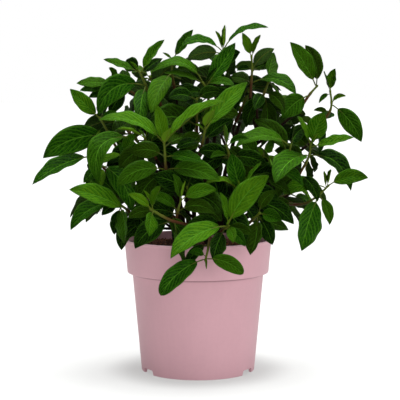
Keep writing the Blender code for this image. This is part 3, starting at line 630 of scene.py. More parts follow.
def stem_material(look):
    """Green at the tips and in the leaf stalks, brown where the stem ripens."""
    material, book, shader, place = new_material("green_stem")
    age = attribute(book, "age")
    tone = attribute(book, "tone")
    streaks = book.noise(place, 240.0, 4.0, 0.6)
    level = age + (streaks - 0.5) * 0.35
    lenticel = book.step(book.cells(place, 620.0), 0.1, 0.2, 1.0, 0.0) * book.step(age, 0.2, 0.6)
    # Painted shade: stalks and midribs of low-tone leaves, inside the bush, blend towards the darker
    # green
    colour = book.coats(
        darker(look.green, 0.4),
        (tone, look.green),
        (book.step(level, 0.25, 0.8), look.ripe),
        (lenticel * 0.4, (0.1, 0.06, 0.025)),
    )
    dress(book, shader, colour, streaks * 0.2 + 0.42, 0.1)
    add_bump(book, shader, streaks + lenticel * 0.5, 0.0004, 0.7)
    return material


def bark_material(look):
    material, book, shader, place = new_material("cane_bark")
    lengthways = book.vector("MULTIPLY", place, (1.0, 1.0, 0.22))
    fissures = book.noise(lengthways, 420.0, 5.0, 0.65)
    patches = book.noise(place, 60.0, 3.0, 0.5)
    lenticel = book.step(book.cells(place, 380.0), 0.08, 0.16, 1.0, 0.0)
    colour = book.coats(
        darker(look.bark, 0.35),
        (book.step(fissures, 0.35, 0.6), look.bark),
        (book.step(patches, 0.5, 0.75, 0.0, 0.5), paler(look.bark, 2.1)),
        (lenticel * 0.4, (0.05, 0.03, 0.014)),
    )
    dress(book, shader, colour, fissures * 0.25 + 0.62, 0.08)
    add_bump(book, shader, fissures + lenticel * 0.4, 0.0008, 0.9)
    return material


def plastic_material(look):
    """Dull moulded plastic, paler on the rim, with painted shade in the crease under the collar."""
    material, book, shader, place = new_material("pot_plastic")
    cloud = book.noise(place, 14.0, 3.0, 0.5)
    grain = book.noise(place, 1500.0, 2.0, 0.6)
    mottle = book.noise(place, 190.0, 3.0, 0.6)
    _, _, z = book.parts(place)
    drawn = book.vector("MULTIPLY", place, (1.0, 1.0, 0.06))
    streaks = book.noise(drawn, 260.0, 2.0, 0.5)
    level = cloud * 0.6 + mottle * 0.25 + streaks * 0.15
    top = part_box("pot")[1][2]
    foot = COLLAR_FOOT_HEIGHT * MM
    # Painted shade: the plastic darkens in the crease just under the collar's foot
    painted_crease_shade = book.step(z, foot - 0.0035, foot - 0.0008)
    painted_crease_shade = painted_crease_shade * book.step(z, foot - 0.0004, foot, 1.0, 0.0)
    rim = book.step(z, top - 0.0016, top - 0.0002)
    colour = book.coats(
        darker(look.plastic, 0.96),
        (book.step(level, 0.3, 0.7), paler(look.plastic, 1.03)),
        (painted_crease_shade * 0.85, darker(look.plastic, 0.36)),
        (rim * 0.35, (0.8, 0.62, 0.66)),
    )
    dress(book, shader, colour, mottle * 0.12 + grain * 0.08 + 0.44, 0.35)
    add_bump(book, shader, grain * 0.6 + mottle * 0.3 + streaks * 0.12, look.grain, 0.9)
    return material


def peat_material(look):
    material, book, shader, place = new_material("compost_peat")
    clods = book.noise(place, 90.0, 6.0, 0.7)
    fibres = book.noise(book.vector("MULTIPLY", place, (1.0, 0.3, 1.0)), 700.0, 4.0, 0.7)
    colour = book.coats(
        look.peat,
        (book.step(clods, 0.4, 0.72), paler(look.peat, 3.2)),
        (book.step(fibres, 0.6, 0.75, 0.0, 0.6), look.chips),
    )
    dress(book, shader, colour, clods * 0.2 + 0.78, 0.1)
    add_bump(book, shader, clods + fibres * 0.4, 0.002, 0.9)
    return material


def chip_material(look):
    material, book, shader, place = new_material("compost_chips")
    chance = attribute(book, "chance")
    grain = book.noise(place, 500.0, 4.0, 0.7)
    colour = book.coats(
        look.peat,
        (book.step(chance, 0.2, 0.7), look.chips),
        (book.step(chance, 0.82, 1.0, 0.0, 0.8), paler(look.chips, 2.4)),
        (grain * 0.5, look.peat),
    )
    dress(book, shader, colour, grain * 0.2 + 0.74, 0.1)
    add_bump(book, shader, grain, 0.0008, 0.8)
    return material


# ---- mesh helpers


def link_object(name, mesh):
    item = bpy.data.objects.new(name, mesh)
    bpy.context.scene.collection.objects.link(item)
    return item


def plain_mesh(item):
    """Replace an object's mesh by what its modifiers make, and drop them."""
    graph = bpy.context.evaluated_depsgraph_get()
    result = bpy.data.meshes.new_from_object(item.evaluated_get(graph), depsgraph=graph)
    item.modifiers.clear()
    old = item.data
    item.data = result
    bpy.data.meshes.remove(old)
    return item


def modify(item, kind, **settings):
    modifier = item.modifiers.new(kind.lower(), kind)
    for name, value in settings.items():
        setattr(modifier, name, value)
    return modifier


def coat(mesh, material):
    mesh.materials.clear()
    mesh.materials.append(material)
    mesh.shade_smooth()


def finish_piece(item, node):
    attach(item, "root")
    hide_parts(node)


def mesh_from(name, points, faces, edges=()):
    mesh = bpy.data.meshes.new(name)
    mesh.from_pydata([tuple(p) for p in points], list(edges), faces)
    return mesh


def open_tree(name, inputs):
    """A Geometry Nodes tree with its named inputs and their identifiers."""
    tree = bpy.data.node_groups.new(name, "GeometryNodeTree")
    face = tree.interface
    face.new_socket("Geometry", in_out="INPUT", socket_type="NodeSocketGeometry")
    keys = {}
    for title, kind in inputs.items():
        socket = face.new_socket(title, in_out="INPUT", socket_type=f"NodeSocket{kind}")
        keys[title] = socket.identifier
    face.new_socket("Geometry", in_out="OUTPUT", socket_type="NodeSocketGeometry")
    book = Book(tree)
    return tree, book, book.node("NodeGroupInput"), keys


def mesh_of(shape, mesh):
    """Move a shape into a mesh."""
    shape.to_mesh(mesh)
    shape.free()
    return mesh


def tidy_normals(mesh):
    shape = bmesh.new()
    shape.from_mesh(mesh)
    bmesh.ops.remove_doubles(shape, verts=shape.verts, dist=1e-6)
    bmesh.ops.recalc_face_normals(shape, faces=shape.faces)
    mesh_of(shape, mesh)


CORNER_SHARE = 0.48


def rounded(corners, steps):
    """An outline of (radius, height, rounding) corners with each corner an arc."""
    outline = []
    for index, (radius, height, size) in enumerate(corners):
        here = Vector((radius, height))
        if size == 0 or index in (0, len(corners) - 1):
            outline.append(here)
            continue
        before = Vector(corners[index - 1][:2])
        after = Vector(corners[index + 1][:2])
        start, end = (
            here + way.normalized() * min(size, way.length * CORNER_SHARE)
            for way in (before - here, after - here)
        )
        for k in range(steps + 1):
            t = k / steps
            outline.append(start * (1 - t) ** 2 + here * 2 * t * (1 - t) + end * t * t)
    return outline


def fine_outline(outline, longest):
    """The same outline with long straight runs cut shorter."""
    result = [outline[0]]
    for before, after in zip(outline, outline[1:]):
        count = max(1, math.ceil((after - before).length / longest))
        for k in range(1, count + 1):
            result.append(before.lerp(after, k / count))
    return result


def turned_mesh(name, outline, segments):
    """Turn an outline that starts and ends on the axis, in millimetres."""
    points = [Vector((0, 0, outline[0].y)) * MM]
    faces = []
    rings = []
    for spot in outline[1:-1]:
        rings.append(len(points))
        for k in range(segments):
            angle = TAU * k / segments
            points.append(Vector((spot.x * math.cos(angle), spot.x * math.sin(angle), spot.y)) * MM)
    last = len(points)
    points.append(Vector((0, 0, outline[-1].y)) * MM)
    for k in range(segments):
        after = (k + 1) % segments
        faces.append((0, rings[0] + after, rings[0] + k))
        faces.append((last, rings[-1] + k, rings[-1] + after))
        for low, high in zip(rings, rings[1:]):
            faces.append((low + k, low + after, high + after, high + k))
    mesh = mesh_from(name, points, faces)
    tidy_normals(mesh)
    return mesh


# ---- pot

RIM_RADIUS = 95
COLLAR_FOOT_RADIUS = 91
COLLAR_FOOT_HEIGHT = 127
BODY_TOP_RADIUS = 84.5
BASE_RADIUS = 73
WALL = 1.9
FLOOR_LOW = 8
FLOOR_HIGH = 9.8
NOTCH_WIDTH = 26
NOTCH_TOP_WIDTH = 21
NOTCH_HEIGHT = 6.4
NOTCH_ANGLES = (-150, -30, 90)
NOTCH_REACH = (60, 84)
DRAIN_RADIUS = 6
DRAIN_SIDES = 40
DRAIN_CUT = 12
DRAIN_RINGS = ((56, (-150, -30, 90)), (34, (-90, 30, 150)))
CORNER_STEPS = 4
LONGEST_STEP = 7
SHARP_ANGLE = 32


def pot_corners(height):
    inner_base = BASE_RADIUS - WALL
    return (
        (0, FLOOR_LOW + 0.9, 0),
        (7, FLOOR_LOW + 0.9, 0.5),
        (9, FLOOR_LOW, 0.5),
        (inner_base - 2.6, FLOOR_LOW, 0.8),
        (inner_base - 1.6, 0.05, 0.5),
        (BASE_RADIUS - 0.1, 0.05, 0.7),
        (BODY_TOP_RADIUS, COLLAR_FOOT_HEIGHT - 0.4, 0.4),
        (COLLAR_FOOT_RADIUS - 0.2, COLLAR_FOOT_HEIGHT - 0.2, 1.1),
        (RIM_RADIUS - 0.7, height - 3.4, 0.6),
        (RIM_RADIUS - 0.02, height - 2.7, 0.4),
        (RIM_RADIUS - 0.02, height - 0.02, 0.8),
        (RIM_RADIUS - WALL, height - 0.02, 0.7),
        (COLLAR_FOOT_RADIUS - WALL - 0.4, COLLAR_FOOT_HEIGHT + 2.6, 1.5),
        (BODY_TOP_RADIUS - WALL, COLLAR_FOOT_HEIGHT - 1.4, 1.5),
        (inner_base + 0.6, FLOOR_HIGH + 0.6, 1.6),
        (0, FLOOR_HIGH, 0),
    )


def notch_mesh(angle):
    """A wedge that opens the foot ring, narrower at its top and a little rounded."""
    shape = bmesh.new()
    turn = Matrix.Rotation(math.radians(angle), 4, "Z")
    outline = (
        (-NOTCH_WIDTH / 2, -3),
        (NOTCH_WIDTH / 2, -3),
        (NOTCH_TOP_WIDTH / 2 + 0.6, NOTCH_HEIGHT - 1.2),
        (NOTCH_TOP_WIDTH / 2 - 1, NOTCH_HEIGHT),
        (-NOTCH_TOP_WIDTH / 2 + 1, NOTCH_HEIGHT),
        (-NOTCH_TOP_WIDTH / 2 - 0.6, NOTCH_HEIGHT - 1.2),
    )
    rings = []
    for radius in NOTCH_REACH:
        rings.append([shape.verts.new(turn @ (Vector((radius, y, z)) * MM)) for y, z in outline])
    count = len(outline)
    shape.faces.new(rings[0])
    shape.faces.new(rings[1])
    for k in range(count):
        after = (k + 1) % count
        shape.faces.new((rings[0][k], rings[0][after], rings[1][after], rings[1][k]))
    bmesh.ops.recalc_face_normals(shape, faces=shape.faces)
    return mesh_of(shape, bpy.data.meshes.new("notch"))


def drain_mesh(radius, angle):
    shape = bmesh.new()
    turn = Matrix.Rotation(math.radians(angle), 4, "Z")
    place = turn @ Matrix.Translation(Vector((radius, 0, FLOOR_LOW + 1)) * MM)
    size = DRAIN_RADIUS * MM
    bmesh.ops.create_cone(
        shape, cap_ends=True, segments=DRAIN_SIDES, radius1=size, radius2=size,
        depth=DRAIN_CUT * MM, matrix=place,
    )
    return mesh_of(shape, bpy.data.meshes.new("drain"))


def cut_with(item, meshes):
    tools = bpy.data.collections.new("cutters")
    for mesh in meshes:
        tools.objects.link(bpy.data.objects.new("cutter", mesh))
    bpy.context.scene.collection.children.link(tools)
    modify(
        item, "BOOLEAN", operation="DIFFERENCE", operand_type="COLLECTION", collection=tools,
        solver="EXACT",
    )
    plain_mesh(item)
    for tool in list(tools.objects):
        bpy.data.objects.remove(tool)
    bpy.data.collections.remove(tools)


class PLANT_OT_pot(bpy.types.Operator):
    """Turn the pot, and cut its notches and drainage holes"""

    bl_idname = "plant.make_pot"
    bl_label = "Pot"

    def execute(self, context):
        look = context.scene.plant_pot
        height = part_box("pot")[1][2] / MM
        outline = fine_outline(rounded(pot_corners(height), CORNER_STEPS), LONGEST_STEP)
        pot = link_object("nursery_pot", turned_mesh("nursery_pot", outline, look.segments))
        cutters = [notch_mesh(angle) for angle in NOTCH_ANGLES]
        for radius, angles in DRAIN_RINGS:
            cutters += [drain_mesh(radius, angle) for angle in angles]
        cut_with(pot, cutters)
        coat(pot.data, plastic_material(look))
        pot.data.set_sharp_from_angle(angle=math.radians(SHARP_ANGLE))
        finish_piece(pot, "pot")
        return {"FINISHED"}


# ---- compost

SOIL_EDGE_HEIGHT = 160
SOIL_CROWN_HEIGHT = 165
SOIL_GAP = 0.3
SOIL_CORNER_STEPS = 3
SOIL_STEP = 2.4
SOIL_SIDES = 150
LUMPS = ((90, 1.6), (260, 0.8))
LUMP_DROP = 0.9
SMALLEST_CRUMB = (0.0004, 0.0003, 0.0004)
LARGEST_CRUMB = (0.0026, 0.0011, 0.0016)


def soil_corners():
    inner_base = BASE_RADIUS - WALL
    return (
        (0, FLOOR_HIGH + SOIL_GAP, 0),
        (inner_base - 1.4, FLOOR_HIGH + SOIL_GAP, 1.2),
        (inner_base + 0.4, FLOOR_HIGH + 2.4, 1.2),
        (BODY_TOP_RADIUS - WALL - 0.6, COLLAR_FOOT_HEIGHT - 1.4, 1.5),
        (COLLAR_FOOT_RADIUS - WALL - 1.2, COLLAR_FOOT_HEIGHT + 4.4, 1.5),
        (COLLAR_FOOT_RADIUS + 0.8, SOIL_EDGE_HEIGHT, 1.0),
        (60, SOIL_EDGE_HEIGHT + 3.2, 6),
        (0, SOIL_CROWN_HEIGHT - 0.4, 0),
    )


def crumb_tree(chips):
    """Scatter crumbs and chips over the faces that look up, then make them real."""
    tree, book, source, keys = open_tree("scatter_crumbs", {"Density": "Float"})
    normal_z = book.parts(book.term("GeometryNodeInputNormal"))[2]
    facing_up = book.math("GREATER_THAN", normal_z, 0.6)
    points = book.term(
        "GeometryNodeDistributePointsOnFaces",
        {"Mesh": source.outputs[0], "Selection": facing_up, "Density": source.outputs[1], "Seed": 7},
    )
    points = book.store(points, "chance", book.chance(0.0, 1.0, 3), "FLOAT")
    scattered = book.term(
        "GeometryNodeInstanceOnPoints",
        {
            "Points": points,
            "Instance": book.term("GeometryNodeMeshIcoSphere", {"Radius": 1.0, "Subdivisions": 1}),
            "Rotation": book.chance((0, 0, 0), (TAU, TAU, TAU), 11),
            "Scale": book.chance(SMALLEST_CRUMB, LARGEST_CRUMB, 5),
        },
    )
    real = book.term("GeometryNodeRealizeInstances", {0: scattered})
    dressed = book.term("GeometryNodeSetMaterial", {"Geometry": real, "Material": chips})
    both = book.together(dressed, source.outputs[0])
    book.node("NodeGroupOutput", {0: both})
    return tree, keys["Density"]


class PLANT_OT_compost(bpy.types.Operator):
    """Fill the pot with a root ball, and scatter crumbs over it"""

    bl_idname = "plant.make_compost"
    bl_label = "Compost"

    def execute(self, context):
        look = context.scene.plant_compost
        outline = fine_outline(rounded(soil_corners(), SOIL_CORNER_STEPS), SOIL_STEP)
        mesh = turned_mesh("compost_ball", outline, SOIL_SIDES)
        for vertex in mesh.vertices:
            spot = vertex.co
            if spot.z > (SOIL_EDGE_HEIGHT - 1) * MM:
                lumps = sum(noise.noise(spot * scale) * rise for scale, rise in LUMPS)
                spot.z += (lumps - LUMP_DROP) * MM
        mesh.materials.append(peat_material(look))
        soil = link_object("compost", mesh)
        tree, density = crumb_tree(chip_material(look))
        modify(soil, "NODES", node_group=tree)[density] = look.crumbs
        plain_mesh(soil)
        soil.data.shade_smooth()
        finish_piece(soil, "potting_soil")
        return {"FINISHED"}


# ---- canes

BARK_VOXEL = 0.0006
BARK_SMOOTHING = 0.6
BARK_PASSES = 12
BARK_LIFT = 0.22
KNOB_HEIGHT = 0.25
RIDGE_HEIGHT = 0.12


class PLANT_OT_canes(bpy.types.Operator):
    """Round off the forked canes and roughen their bark"""

    bl_idname = "plant.make_canes"
    bl_label = "Canes"

    def execute(self, context):
        bark = bark_material(context.scene.plant_wood)
        for node in sorted(n for n in frame["nodes"] if n.startswith("cane_")):
            mesh = frame["nodes"][node].data.copy()
            tidy_normals(mesh)
            cane = link_object(f"woody_{node}", mesh)
            modify(cane, "REMESH", mode="VOXEL", voxel_size=BARK_VOXEL)
            modify(cane, "SMOOTH", factor=BARK_SMOOTHING, iterations=BARK_PASSES)
            plain_mesh(cane)
            normals = [v.normal.copy() for v in cane.data.vertices]
            for vertex, normal in zip(cane.data.vertices, normals):
                spot = vertex.co
                knobs = noise.noise(Vector((spot.x, spot.y, spot.z * 0.5)) * 240)
                ridges = noise.noise(Vector((spot.x * 900, spot.y * 900, spot.z * 160)))
                rise = BARK_LIFT + knobs * KNOB_HEIGHT + ridges * RIDGE_HEIGHT
                spot += normal * rise * MM
            coat(cane.data, bark)
            finish_piece(cane, node)
        return {"FINISHED"}


# ---- shoots


def leaf_base(joints, joint, order):
    """Where a leaf leaves its stem: each pair a little below the one before it."""
    below = joints[joint - 1] - joints[joint]
    return joints[joint] + below.normalized() * (FIRST_PAIR_DROP + PAIR_DROP * (order // 2))


def tip_depth(node, x, z):
    """The depth that the frame gives to the leaf tip at x and z, or None."""
    for vertex in frame["nodes"][node].data.vertices:
        spot = vertex.co / MM
        if abs(spot.x - x) < TIP_TOLERANCE and abs(spot.z - z) < TIP_TOLERANCE:
            return spot.y
    return None


def tabled_shoots():
    for name, (tones, joints, leaves) in FRONT_SHOOTS.items():
        joints = [Vector(p) for p in joints]
        node = f"shoot_{name}"
        rows = []
        used = []
        for tone, (joint, x, z, width, arch) in zip(tones, leaves):
            base = leaf_base(joints, joint, used.count(joint))
            used.append(joint)
            y = tip_depth(node, x, z)
            if y is None:
                raise RuntimeError(f"{node} has no leaf tip at {x}, {z}")
            rows.append((base, Vector((x, y, z)), width, arch / 100, FRONT, TONES[tone]))
        yield node, joints, rows


def grown_leaf(base, axis, outward, turn, length):
    """One leaf of a pair: it leaves the stem at a slant and droops."""
    across = axis.cross(UP).normalized()
    other = axis.cross(across)
    radial = across * math.cos(turn) + other * math.sin(turn)
    tip = base + (axis * GROWN_FORWARD + radial * GROWN_OUTWARD) * length
    tip.z -= GROWN_DROOP * length * (1 - abs(radial.z) * DROOP_RELIEF)
    width = GROWN_WIDTH * length
    return base, tip, width, GROWN_ARCH, outward


def grown_shoots():
    for index, (angle, radius, height, climb, turn) in enumerate(GROWN_SHOOTS):
        outward = Matrix.Rotation(math.radians(angle), 3, "Z") @ Vector((1, 0, 0))
        axis = outward * math.cos(math.radians(climb)) + UP * math.sin(math.radians(climb))
        root = outward * radius + UP * height
        joints = [root + axis * GROWN_JOINT_STEP * k for k in range(len(GROWN_PAIRS) + 1)]
        node = f"shoot_grown_{index + 1:02d}"
        places = []
        for pair, lengths in enumerate((*GROWN_PAIRS, GROWN_BUD)):
            joint = min(pair + 1, len(joints) - 1)
            first = 0 if joint > pair else len(lengths)
            # Painted shade: the inner shoots take the deep shade tone
            tone = "D" if index + 1 in INNER_SHOOTS else GROWN_TONES[pair]
            for side, length in enumerate(lengths):
                places.append((joint, first + side, turn + 90 * pair + 180 * side, length, tone))
        # The low pair sits inside the bush and takes the deep shade tone as painted shade
        for side, length in enumerate(GROWN_LOW_PAIR):
            places.append((1, 2 + side, turn + 90 + 180 * side, length, "D"))
        rows = []
        for joint, order, roll, length, tone in places:
            point = leaf_base(joints, joint, order)
            leaf = grown_leaf(point, axis, outward, math.radians(roll), length)
            base, tip, width, arch, facing = leaf
            y = tip_depth(node, tip.x, tip.z)
            if y is not None:
                tip.y = y
                rows.append((base, tip, width, arch, facing, TONES[tone]))
        yield node, joints, rows


def leaf_axes(base, tip, width, facing):
    """The leaf's own directions, and its true width."""
    chord = tip - base
    length = chord.length
    along = chord / length
    hint = UP
    if along.z < HANGING:
        hint = Vector((base.x, base.y, 0)).normalized()
    rise = (hint - along * hint.dot(along)).normalized()
    view = along.cross(rise)
    if view.dot(facing) < 0:
        view = -view
    share = WIDTH_SHARE if length > YOUNG_LENGTH else YOUNG_WIDTH_SHARE
    true_width = max(abs(width), share * length)
    turn = math.asin(min(1, abs(width) / true_width))
    turn *= 1 - along.dot(facing) ** 2
    normal = rise * math.cos(turn) + view * math.copysign(math.sin(turn), width)
    side = along.cross(normal)
    return length, rise, normal, side, true_width


def smooth_path(points, steps):
    """Points on a Catmull-Rom curve through the given ones."""
    padded = [points[0] * 2 - points[1], *points, points[-1] * 2 - points[-2]]
    result = []
    for a, b, c, d in zip(padded, padded[1:], padded[2:], padded[3:]):
        for k in range(steps):
            t = k / steps
            value = b * 2 + (c - a) * t
            value += (a * 2 - b * 5 + c * 4 - d) * t * t
            value += (b * 3 - a - c * 3 + d) * t * t * t
            result.append(value / 2)
    result.append(points[-1])
    return result


STEM_BASE_SIZE = 1.95
STEM_TIP_SIZE = 1.2
JOINT_SWELL = 0.4
JOINT_REACH = 2.4
STEM_CAP = ((0.8, 0.95), (1.5, 0.6), (1.9, 0.15))
STEM_STEPS = 8
STEM_SIDES = 12
RIB_GRID = (9, 15)
RIB_GIRTH = 0.0058
RIB_TAPER = 0.78
WAVE_TURNS = 19.0
WAVE_HEIGHT = 0.07
SEAM_REACH = 0.000015


def stem_rows(joints):
    """Points of the stem with their girth and age: it swells at every joint."""
    path = smooth_path(joints, STEM_STEPS)
    rows = []
    for k, point in enumerate(path):
        share = k / (len(path) - 1)
        near = min((point - joint).length for joint in joints[1:])
        swell = JOINT_SWELL * math.exp(-((near / JOINT_REACH) ** 2))
        girth = STEM_BASE_SIZE + (STEM_TIP_SIZE - STEM_BASE_SIZE) * share + swell
        rows.append((point, girth, 1 - share))
    end = (path[-1] - path[-2]).normalized()
    for reach, girth in STEM_CAP:
        rows.append((path[-1] + end * reach, girth, 0))
    return rows


VECTORS = ("chord", "rise", "face", "side", "sizes", "habit", "bend")
NUMBERS = ("tone", "chance", "girth", "age")
FIELDS = {
    "is_leaf": "FLOAT",
    **dict.fromkeys(VECTORS, "FLOAT_VECTOR"),
    **dict.fromkeys(NUMBERS, "FLOAT"),
}
FOLD = (0.34, 0.6)
YOUNG_FOLD = (0.7, 0.95)
TWIST = 0.35
SWAY = 0.05
CURL = (0.12, 0.3)
TONE_SPREAD = 0.05
STALK_AGE = 0.1
STEM_TONE = 0.6


def seed_row(**values):
    """What one point carries, with nothing for what isn't given."""
    blank = {name: 0.0 if kind == "FLOAT" else Vector() for name, kind in FIELDS.items()}
    return blank | values


def seed_mesh(name, joints, leaves, luck):
    """A mesh with one point for each leaf and a chain of edges for the stem."""
    points = []
    rows = []
    for base, tip, width, arch, facing, tone in leaves:
        length, rise, face, side, true_width = leaf_axes(base, tip, width, facing)
        young = length <= YOUNG_LENGTH
        stalk = min(LONGEST_STALK, STALK_LENGTH / length)
        fold = luck.uniform(*(YOUNG_FOLD if young else FOLD))
        blunt = BLUNT_TIPS if "over_rim" in name and not young else 0.0
        row = seed_row(
            is_leaf=1.0,
            chord=(tip - base) * MM,
            rise=rise,
            face=face,
            side=side,
            sizes=Vector((true_width * MM, arch, stalk)),
            habit=Vector((fold, luck.uniform(-TWIST, TWIST), luck.uniform(-SWAY, SWAY))),
            bend=Vector((luck.uniform(*CURL), luck.uniform(0, TAU), blunt)),
            tone=tone + luck.uniform(-TONE_SPREAD, TONE_SPREAD),
            chance=luck.random(),
            age=STALK_AGE,
        )
        points.append(base * MM)
        rows.append(row)
    first = len(points)
    for point, girth, age in stem_rows(joints):
        points.append(point * MM)
        rows.append(seed_row(girth=girth * MM, age=age, tone=STEM_TONE))
    edges = [(k, k + 1) for k in range(first, len(points) - 1)]
    mesh = mesh_from(name, points, [], edges)
    for field, kind in FIELDS.items():
        data = mesh.attributes.new(field, kind, "POINT").data
        if kind == "FLOAT":
            data.foreach_set("value", [row[field] for row in rows])
        else:
            data.foreach_set("vector", [c for row in rows for c in row[field]])
    return mesh


# The tree's inputs: their kind, and the setting that each is fed from
SHOOT_INPUTS = {
    "Rows": ("Int", "rows"),
    "Columns": ("Int", "columns"),
    "Side veins": ("Float", "vein_count"),
    "Quilting": ("Float", "quilting"),
    "Thickness": ("Float", "thickness"),
}


class ShootTree:
    """The Geometry Nodes tree that grows a shoot from its seed mesh."""

    def __init__(self, upper, lower, green):
        inputs = {name: kind for name, (kind, _) in SHOOT_INPUTS.items()}
        self.tree, self.book, self.source, self.keys = open_tree("leafy_shoot", inputs)
        self.build(upper, lower, green)

    def given(self, name):
        return Term(self.book, self.source.outputs[name])

    def named(self, name):
        kind = FIELDS.get(name, "FLOAT_VECTOR")
        return self.book.term("GeometryNodeInputNamedAttribute", {"Name": name}, data_type=kind)

    def parts(self, name):
        return self.book.parts(self.named(name))

    def sheet(self, columns, rows, layer, material, flipped):
        """A unit grid that remembers where each of its points lies."""
        book = self.book
        grid = book.term(
            "GeometryNodeMeshGrid",
            {"Size X": 1.0, "Size Y": 1.0, "Vertices X": columns, "Vertices Y": rows},
        )
        spot = book.term("GeometryNodeInputPosition") + (0.5, 0.5, layer)
        result = book.store(grid, "spot", spot)
        if flipped:
            result = book.term("GeometryNodeFlipFaces", {"Mesh": result})
        return book.term("GeometryNodeSetMaterial", {"Geometry": result, "Material": material})

    def bowed(self, straight, bow):
        """What is given, moved by the leaf's arch and its slight sideways sway."""
        _, arch, _ = self.parts("sizes")
        _, _, sway = self.parts("habit")
        length = self.book.vector("LENGTH", self.named("chord"))
        straight = straight + self.named("rise") * (arch * length * bow)
        return straight + self.named("side") * (sway * length * bow)

    def midrib(self, share):
        """The place of a point on the midrib."""
        straight = self.named("base") + self.named("chord") * share
        return self.bowed(straight, share * (1.0 - share) * 4.0)

    def axes(self, share):
        """The blade's upward and sideways directions at a place on its midrib."""
        book = self.book
        _, twist, _ = self.parts("habit")
        run = self.bowed(self.named("chord"), (1.0 - share * 2.0) * 4.0)
        run = book.vector("NORMALIZE", run)
        face = self.named("face")
        face = face - run * book.vector("DOT_PRODUCT", face, run)
        face = book.vector("NORMALIZE", face)
        side = book.vector("CROSS_PRODUCT", run, face)
        angle = twist * (share - 0.3)
        cosine = book.math("COSINE", angle)
        sine = book.math("SINE", angle)
        return face * cosine - side * sine, side * cosine + face * sine

    def blade_place(self):
        """Where a point of either sheet of the blade goes."""
        book = self.book
        x, along, layer = self.parts("spot")
        signed = x * 2.0 - 1.0
        across = book.math("ABSOLUTE", signed)
        width, _, stalk = self.parts("sizes")
        fold, _, _ = self.parts("habit")
        curl, wave_start, blunt = self.parts("bend")
        share = stalk + (1.0 - stalk) * along
        face, side = self.axes(share)
        widest = OUTLINE_RISE / (OUTLINE_RISE + OUTLINE_FALL)
        peak = widest**OUTLINE_RISE * (1 - widest) ** OUTLINE_FALL
        outline = book.math("POWER", along, OUTLINE_RISE)
        outline = outline * book.math("POWER", 1.0 - along, OUTLINE_FALL) / peak
        oval = book.math("SQRT", along * (1.0 - along) * 4.0)
        outline = outline + (oval - outline) * blunt
        half = outline * width * 0.5
        lift = half * (across * fold - across * across * curl - fold * 0.3)
        phase = vein_phase(along, across, self.given("Side veins"))
        swell = book.math("POWER", book.math("PINGPONG", phase, 0.5) * 2.0, 0.6)
        inner = book.step(across, 0.0, 0.12) * book.step(across, 0.75, 1.0, 1.0, 0.0)
        room = book.step(half, 0.001, 0.008)
        lift = lift + self.given("Quilting") * (swell - 0.5) * inner * room
        wave = book.math("SINE", along * WAVE_TURNS + wave_start + signed * 1.3)
        lift = lift + wave * across * across * half * WAVE_HEIGHT
        ends = book.step(along, 0.0, 0.04) * book.step(along, 0.95, 1.0, 1.0, 0.0)
        depth = (1.0 - across * across * across) * ends * self.given("Thickness")
        place = self.midrib(share) + side * (half * signed)
        return place + face * (lift - depth * layer)

    def rib_place(self):
        """Where a point of the stalk and midrib goes."""
        book = self.book
        x, along, _ = self.parts("spot")
        width, _, stalk = self.parts("sizes")
        fold, _, _ = self.parts("habit")
        share = along * 0.985 - 0.012
        face, side = self.axes(share)
        half = book.step(share, stalk, stalk + 0.25) * width * 0.5
        girth = book.math("POWER", width, 0.5) * RIB_GIRTH * (1.0 - along * RIB_TAPER)
        girth = girth * book.step(along, 0.0, 0.02) * book.step(along, 0.93, 1.0, 1.0, 0.0)
        angle = x * -TAU
        sunk = half * fold * 0.3 + book.step(share, stalk * 0.8, stalk * 1.6) * girth * 1.1
        place = self.midrib(share) - face * sunk
        place = place + side * (book.math("COSINE", angle) * girth)
        return place + face * (book.math("SINE", angle) * girth)

    def grow(self, template, place):
        """Put a copy of the template on every leaf point and bend it there."""
        book = self.book
        copies = book.term(
            "GeometryNodeInstanceOnPoints", {"Points": self.leaf_points, "Instance": template}
        )
        real = book.term("GeometryNodeRealizeInstances", {0: copies})
        return book.term("GeometryNodeSetPosition", {"Geometry": real, "Position": place})

    def stem(self, chain, green):
        book = self.book
        sides = {"Resolution": STEM_SIDES, "Radius": 1.0}
        tube = book.term(
            "GeometryNodeCurveToMesh",
            {
                "Curve": book.term("GeometryNodeMeshToCurve", {"Mesh": chain}),
                "Profile Curve": book.term("GeometryNodeCurvePrimitiveCircle", sides),
                "Scale": self.named("girth"),
                "Fill Caps": True,
            },
        )
        return book.term("GeometryNodeSetMaterial", {"Geometry": tube, "Material": green})

    def build(self, upper, lower, green):
        book = self.book
        base = book.store(self.given("Geometry"), "base", book.term("GeometryNodeInputPosition"))
        is_leaf = book.math("GREATER_THAN", self.named("is_leaf"), 0.5)
        parts = book.node("GeometryNodeSeparateGeometry", {0: base, "Selection": is_leaf})
        self.leaf_points = parts.outputs[0]
        columns = self.given("Columns") + 1.0
        rows = self.given("Rows") + 1.0
        blade = self.blade_place()
        sheets = [
            self.grow(self.sheet(columns, rows, 0.0, upper, False), blade),
            self.grow(self.sheet(columns, rows, 1.0, lower, True), blade),
            self.grow(self.sheet(*RIB_GRID, 0.0, green, False), self.rib_place()),
        ]
        closed = book.term(
            "GeometryNodeMergeByDistance",
            {"Geometry": book.together(*sheets), "Distance": SEAM_REACH},
        )
        whole = book.together(closed, self.stem(parts.outputs[1], green))
        soft = book.term("GeometryNodeSetShadeSmooth", {"Geometry": whole})
        book.node("NodeGroupOutput", {0: soft})


